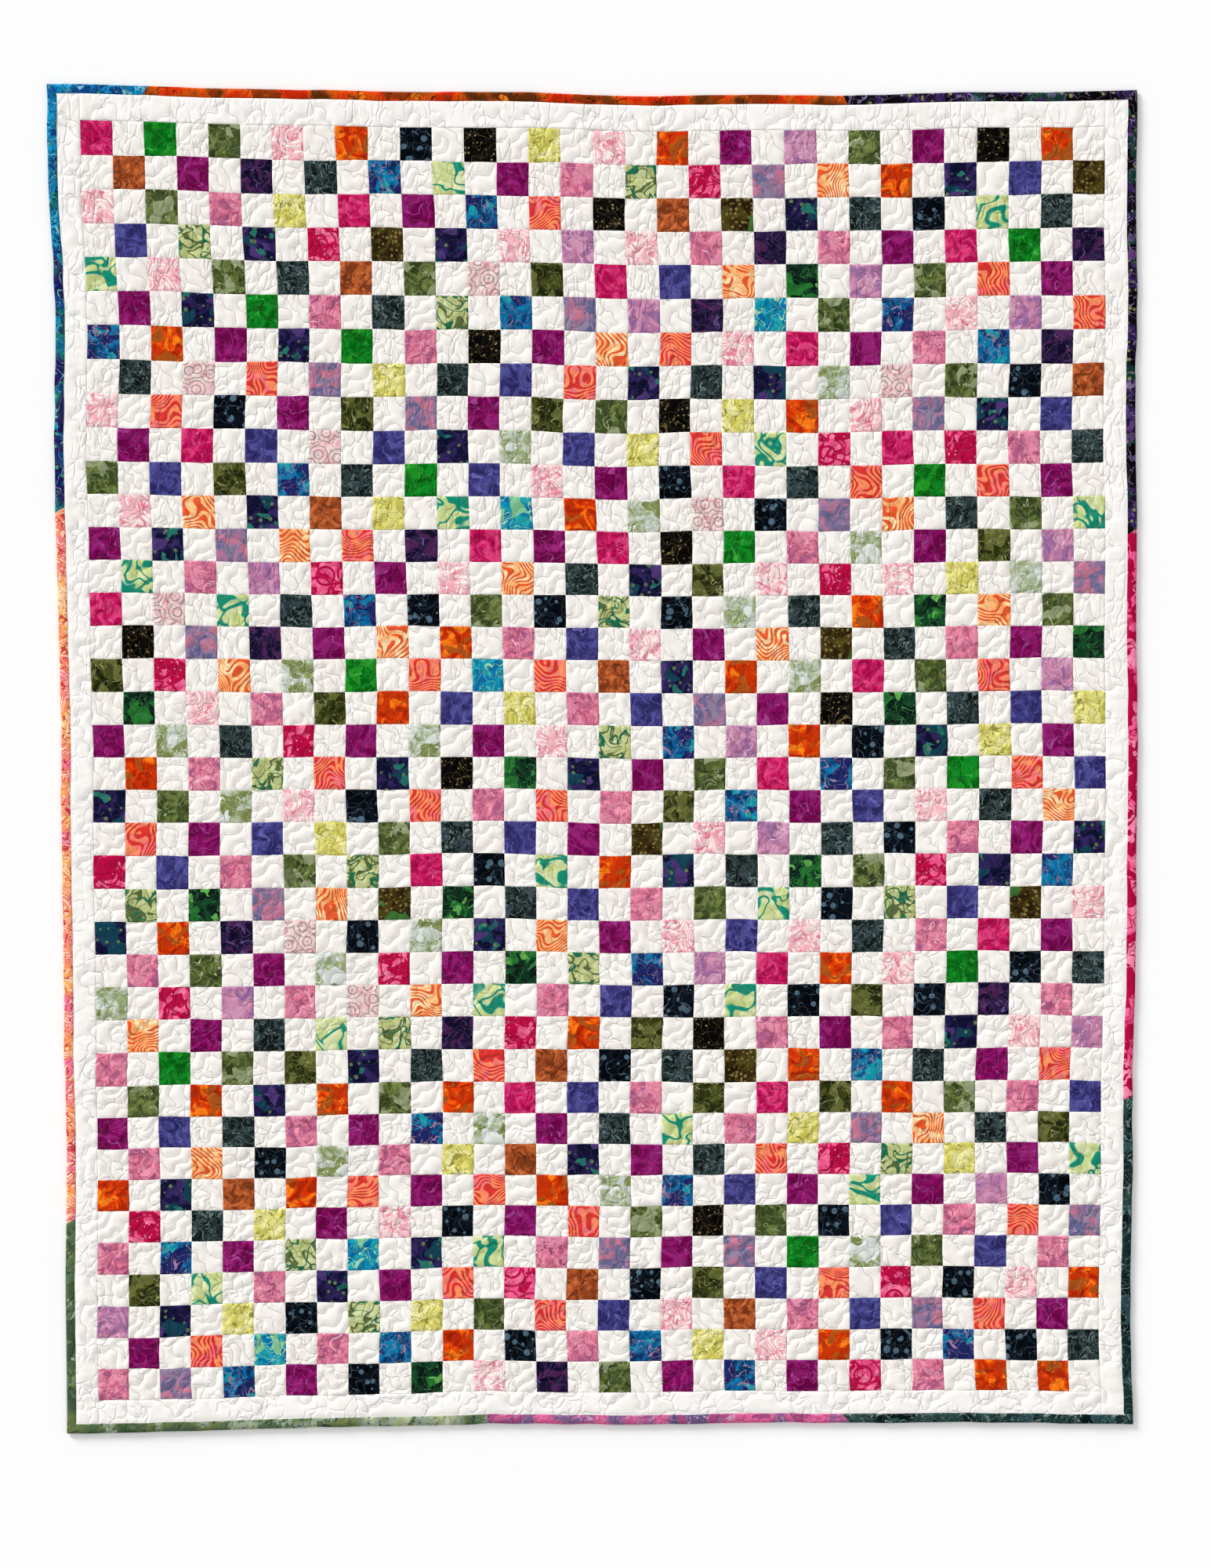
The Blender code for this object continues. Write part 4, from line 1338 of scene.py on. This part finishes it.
# %% [markdown]
# ## Dropping points on the cloth
#
# The thread lies in the valley between the puffs, but the mesh of the cloth is a little coarser than that
# crease. So the thread's points are dropped straight down on the mesh instead of taking their height from the
# function that shaped it. Rays find the face under each point quickly once all faces are sorted in a tree.

# %% Rays onto the cloth
DROP_HEIGHT = 0.05


def quilt_top_surface():
    """The face of all the patches and borders, ready for rays."""
    points, quads = [], []
    for name, piece in pieces.items():
        if not name.endswith("_strip") and name != "quilt_backing":
            start = len(points)
            points += [vertex.co.copy() for vertex in piece.data.vertices]
            quads += [[start + corner for corner in face.vertices] for face in piece.data.polygons]
    return BVHTree.FromPolygons(points, quads)


def dropped(surface, x, y):
    """The height of the surface straight below each point."""
    heights = np.empty(x.size)
    for turn, (one_x, one_y) in enumerate(zip(x.flat, y.flat)):
        hit = surface.ray_cast(Vector((one_x, one_y, DROP_HEIGHT)), Vector((0.0, 0.0, -1.0)))[0]
        heights[turn] = hit.z if hit else STITCHED_HEIGHT
    return heights.reshape(x.shape)


quilt_top = quilt_top_surface()
middle_height = dropped(quilt_top, np.array([0.0]), np.array([0.0]))[0]
print("height of the cloth at the middle:", round(float(middle_height), 4))

# %% [markdown]
# ## Clear nylon
#
# Nylon thread is drawn as a smooth single strand, so it is less rough than cotton and catches a little light.
# Its colour comes from the tone stored at each point of the ribbon, which holds painted shade, and a change
# of tone every few millimetres is painted glint and painted shade that stand for the stitches, which glint
# and dip in turn.

# %% Thread material
THREAD_ROUGHNESS = 0.6
THREAD_SHINE = 0.2
# Near-whites whose mottle multiplies the thread's colour: painted glints and painted shade of the stitches.
PAINTED_THREAD_GLINTS = ["#dcdcdc", "#f0f0f0", "#ffffff"]
PAINTED_GLINT_SIZE = 0.006
PAINTED_GLINT_SEED = 2


def thread_with_painted_light():
    """Clear nylon thread, which takes its colour from the points of the ribbon, with painted shade and
    painted glints.
    """
    material = bpy.data.materials.new("nylon_thread_painted_light")
    material.use_nodes = True
    tree = material.node_tree
    shader = tree.nodes["Principled BSDF"]
    shader.inputs["Roughness"].default_value = THREAD_ROUGHNESS
    shader.inputs["Specular IOR Level"].default_value = THREAD_SHINE
    tone = node(tree, "ShaderNodeVertexColor", {"layer_name": "tone"}).outputs[0]
    cloth = node(tree, "ShaderNodeUVMap", {"uv_map": "cloth"}).outputs[0]
    # Painted glints and painted shade, changing every few millimetres along the thread.
    painted_glint = mottled(tree, cloth, PAINTED_THREAD_GLINTS, PAINTED_GLINT_SIZE, PAINTED_GLINT_SEED)
    settings = {"data_type": "RGBA", "blend_type": "MULTIPLY", 0: 1.0}
    mixed = node(tree, "ShaderNodeMix", settings, {6: tone, 7: painted_glint}).outputs[2]
    tree.links.new(mixed, shader.inputs["Base Color"])
    return material


nylon = thread_with_painted_light()
print("thread material:", nylon.name)

# %% [markdown]
# ## The quilting thread
#
# The thread follows the same line that shaped the cloth, as a flat ribbon no wider than a strong thread. A
# ribbon takes two triangles for each step, where a tube of six sides would take twelve, and from above the
# two look the same.

# %% Quilting thread
THREAD_WIDTH = 0.00034
THREAD_PROUD = 0.0003
THREAD_STEPS = 3


def quilting_thread():
    """The thread along the whole quilting line."""
    line = smooth_path(quilting, THREAD_STEPS)
    line = np.concatenate([line, line[:1]])
    ahead = np.gradient(line, axis=0)
    beside = np.stack([-ahead[:, 1], ahead[:, 0]], axis=-1) / np.linalg.norm(ahead, axis=1)[:, None]
    rails = line[:, None, :] + beside[:, None, :] * (THREAD_WIDTH / 2) * np.array([-1, 1])[None, :, None]
    x, y = laid(rails[..., 0], rails[..., 1])
    height = dropped(quilt_top, x, y) + THREAD_PROUD
    run = np.concatenate([[0.0], np.cumsum(np.linalg.norm(np.diff(line, axis=0), axis=1))])
    run, around = np.broadcast_arrays(run[:, None], THREAD_WIDTH * np.array([0.0, 1.0])[None, :])
    quads = grid_quads(1, *run.shape)[:, ::-1]
    points, cloth = np.stack([x, y, height], axis=-1), np.stack([run, around], axis=-1)
    piece = cloth_object("quilting_thread", points, quads, cloth, nylon)
    # The colour stored at each point of the thread holds painted shade of its groove.
    tones = shaded_thread_tones(rails[..., 0], rails[..., 1]).astype(np.float32)
    shaded_tone_layer = piece.data.color_attributes.new("tone", "FLOAT_COLOR", "POINT")
    shaded_tone_layer.data.foreach_set("color", tones.reshape(-1))
    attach(piece, "root")


quilting_thread()
counts = {name: 2 * len(piece.data.polygons) for name, piece in pieces.items()}
print("pieces:", len(pieces), "triangles:", sum(counts.values()), "most in one:", max(counts.values()))

# %% [markdown]
# ## The floor
#
# The quilt lies on a white painted floor. A single large square is enough, with a faint change of tone so
# that it doesn't look like paper. It is marked as the stage, because it isn't part of the quilt.

# %% Floor
FLOOR_SIDE = 12.0
PAINT_ROUGHNESS = 0.95
PAINT_SHINE = 0.1
PAINT_TONE_SCALE = 3.0
PAINT_WHITES = ["#fbfbfb", "#fdfdfd"]


def painted_floor():
    """A matt white studio floor."""
    mesh = bpy.data.meshes.new("floor")
    half = FLOOR_SIDE / 2
    corners = [(-half, -half, 0), (half, -half, 0), (half, half, 0), (-half, half, 0)]
    mesh.from_pydata(corners, [], [(0, 1, 2, 3)])
    floor = bpy.data.objects.new("floor", mesh)
    material = bpy.data.materials.new("matt_white_paint")
    material.use_nodes = True
    tree = material.node_tree
    shader = tree.nodes["Principled BSDF"]
    shader.inputs["Roughness"].default_value = PAINT_ROUGHNESS
    shader.inputs["Specular IOR Level"].default_value = PAINT_SHINE
    place = node(tree, "ShaderNodeTexCoord").outputs["Object"]
    settings = {"Scale": PAINT_TONE_SCALE, "Detail": 2.0}
    noise = node(tree, "ShaderNodeTexNoise", settings, {"Vector": place})
    ramp = node(tree, "ShaderNodeValToRGB", (), {0: noise.outputs[0]})
    for end, white in zip(ramp.color_ramp.elements, PAINT_WHITES):
        end.color = linear(white)
    tree.links.new(ramp.outputs[0], shader.inputs["Base Color"])
    mesh.materials.append(material)
    bpy.context.scene.collection.objects.link(floor)
    floor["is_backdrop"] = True


painted_floor()
print("floor:", FLOOR_SIDE, "m square")

# %% [markdown]
# ## The light
#
# A soft main light comes from the top left, low enough to draw the puffs and to throw a narrow shadow to the
# right and below. A sun lamp with a wide angle gives that evenly over the whole quilt, where an area lamp
# would fade from one side to the other. A plain white sky fills the shadows.

# %% Light
SUN_DIRECTION_FROM = (-0.62, 0.70, 0.28)
SUN_STRENGTH = 3.65
SUN_SOFTNESS = 18.0
SKY_STRENGTH = 0.68


def studio_light():
    """A soft main light from the top left and an even white fill."""
    lamp = bpy.data.lights.new("main_light", "SUN")
    lamp.energy = SUN_STRENGTH
    lamp.angle = math.radians(SUN_SOFTNESS)
    main = bpy.data.objects.new("main_light", lamp)
    away = [-value for value in SUN_DIRECTION_FROM]
    length = math.sqrt(sum(value * value for value in away))
    main.rotation_euler = (math.acos(-away[2] / length), 0.0, math.atan2(away[1], away[0]) - math.pi / 2)
    bpy.context.scene.collection.objects.link(main)
    world = bpy.data.worlds.new("white_fill")
    world.use_nodes = True
    background = world.node_tree.nodes["Background"]
    background.inputs["Color"].default_value = (1.0, 1.0, 1.0, 1.0)
    background.inputs["Strength"].default_value = SKY_STRENGTH
    bpy.context.scene.world = world


studio_light()
light_height = math.atan2(SUN_DIRECTION_FROM[2], math.hypot(*SUN_DIRECTION_FROM[:2]))
print("main light:", round(math.degrees(light_height)), "degrees above the floor")

# %% [markdown]
# ## The camera
#
# The camera looks straight down from far enough away that the quilt keeps its true outline. Its distance
# follows from the lens and from how many metres of quilt one pixel of the photograph covers.

# %% Camera
PHOTO_SIZE = (1545, 2000)
METRES_PER_PIXEL = 0.000932
PHOTO_MIDDLE_FROM_QUILT = (0.0168, -0.0294)
LENS = 85.0
SENSOR = 36.0


def overhead_camera():
    """A camera straight above, framed as the photograph is."""
    data = bpy.data.cameras.new("overhead_camera")
    data.lens = LENS
    data.sensor_fit = "VERTICAL"
    data.sensor_width = SENSOR
    data.sensor_height = SENSOR
    camera = bpy.data.objects.new("overhead_camera", data)
    distance = PHOTO_SIZE[1] * METRES_PER_PIXEL * LENS / SENSOR
    camera.location = (
        PHOTO_MIDDLE_FROM_QUILT[0] - MIDDLE[0],
        PHOTO_MIDDLE_FROM_QUILT[1] - MIDDLE[1],
        distance + STITCHED_HEIGHT,
    )
    bpy.context.scene.collection.objects.link(camera)
    bpy.context.scene.camera = camera
    print("camera height:", round(distance, 3))


overhead_camera()
bpy.context.scene.view_settings.view_transform = "Standard"

# %% [markdown]
# ## The two boxes
#
# Both boxes, the frame's and the dressed quilt's, are printed side by side. The dressed quilt has to
# stay in the frame's box but for the little that cloth may stand proud.

# %% Both boxes
boxes = {"cad": cad_box, "visual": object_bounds()}
boxes = {name: [[float(value) for value in corner] for corner in box] for name, box in boxes.items()}
print("boxes:", boxes)
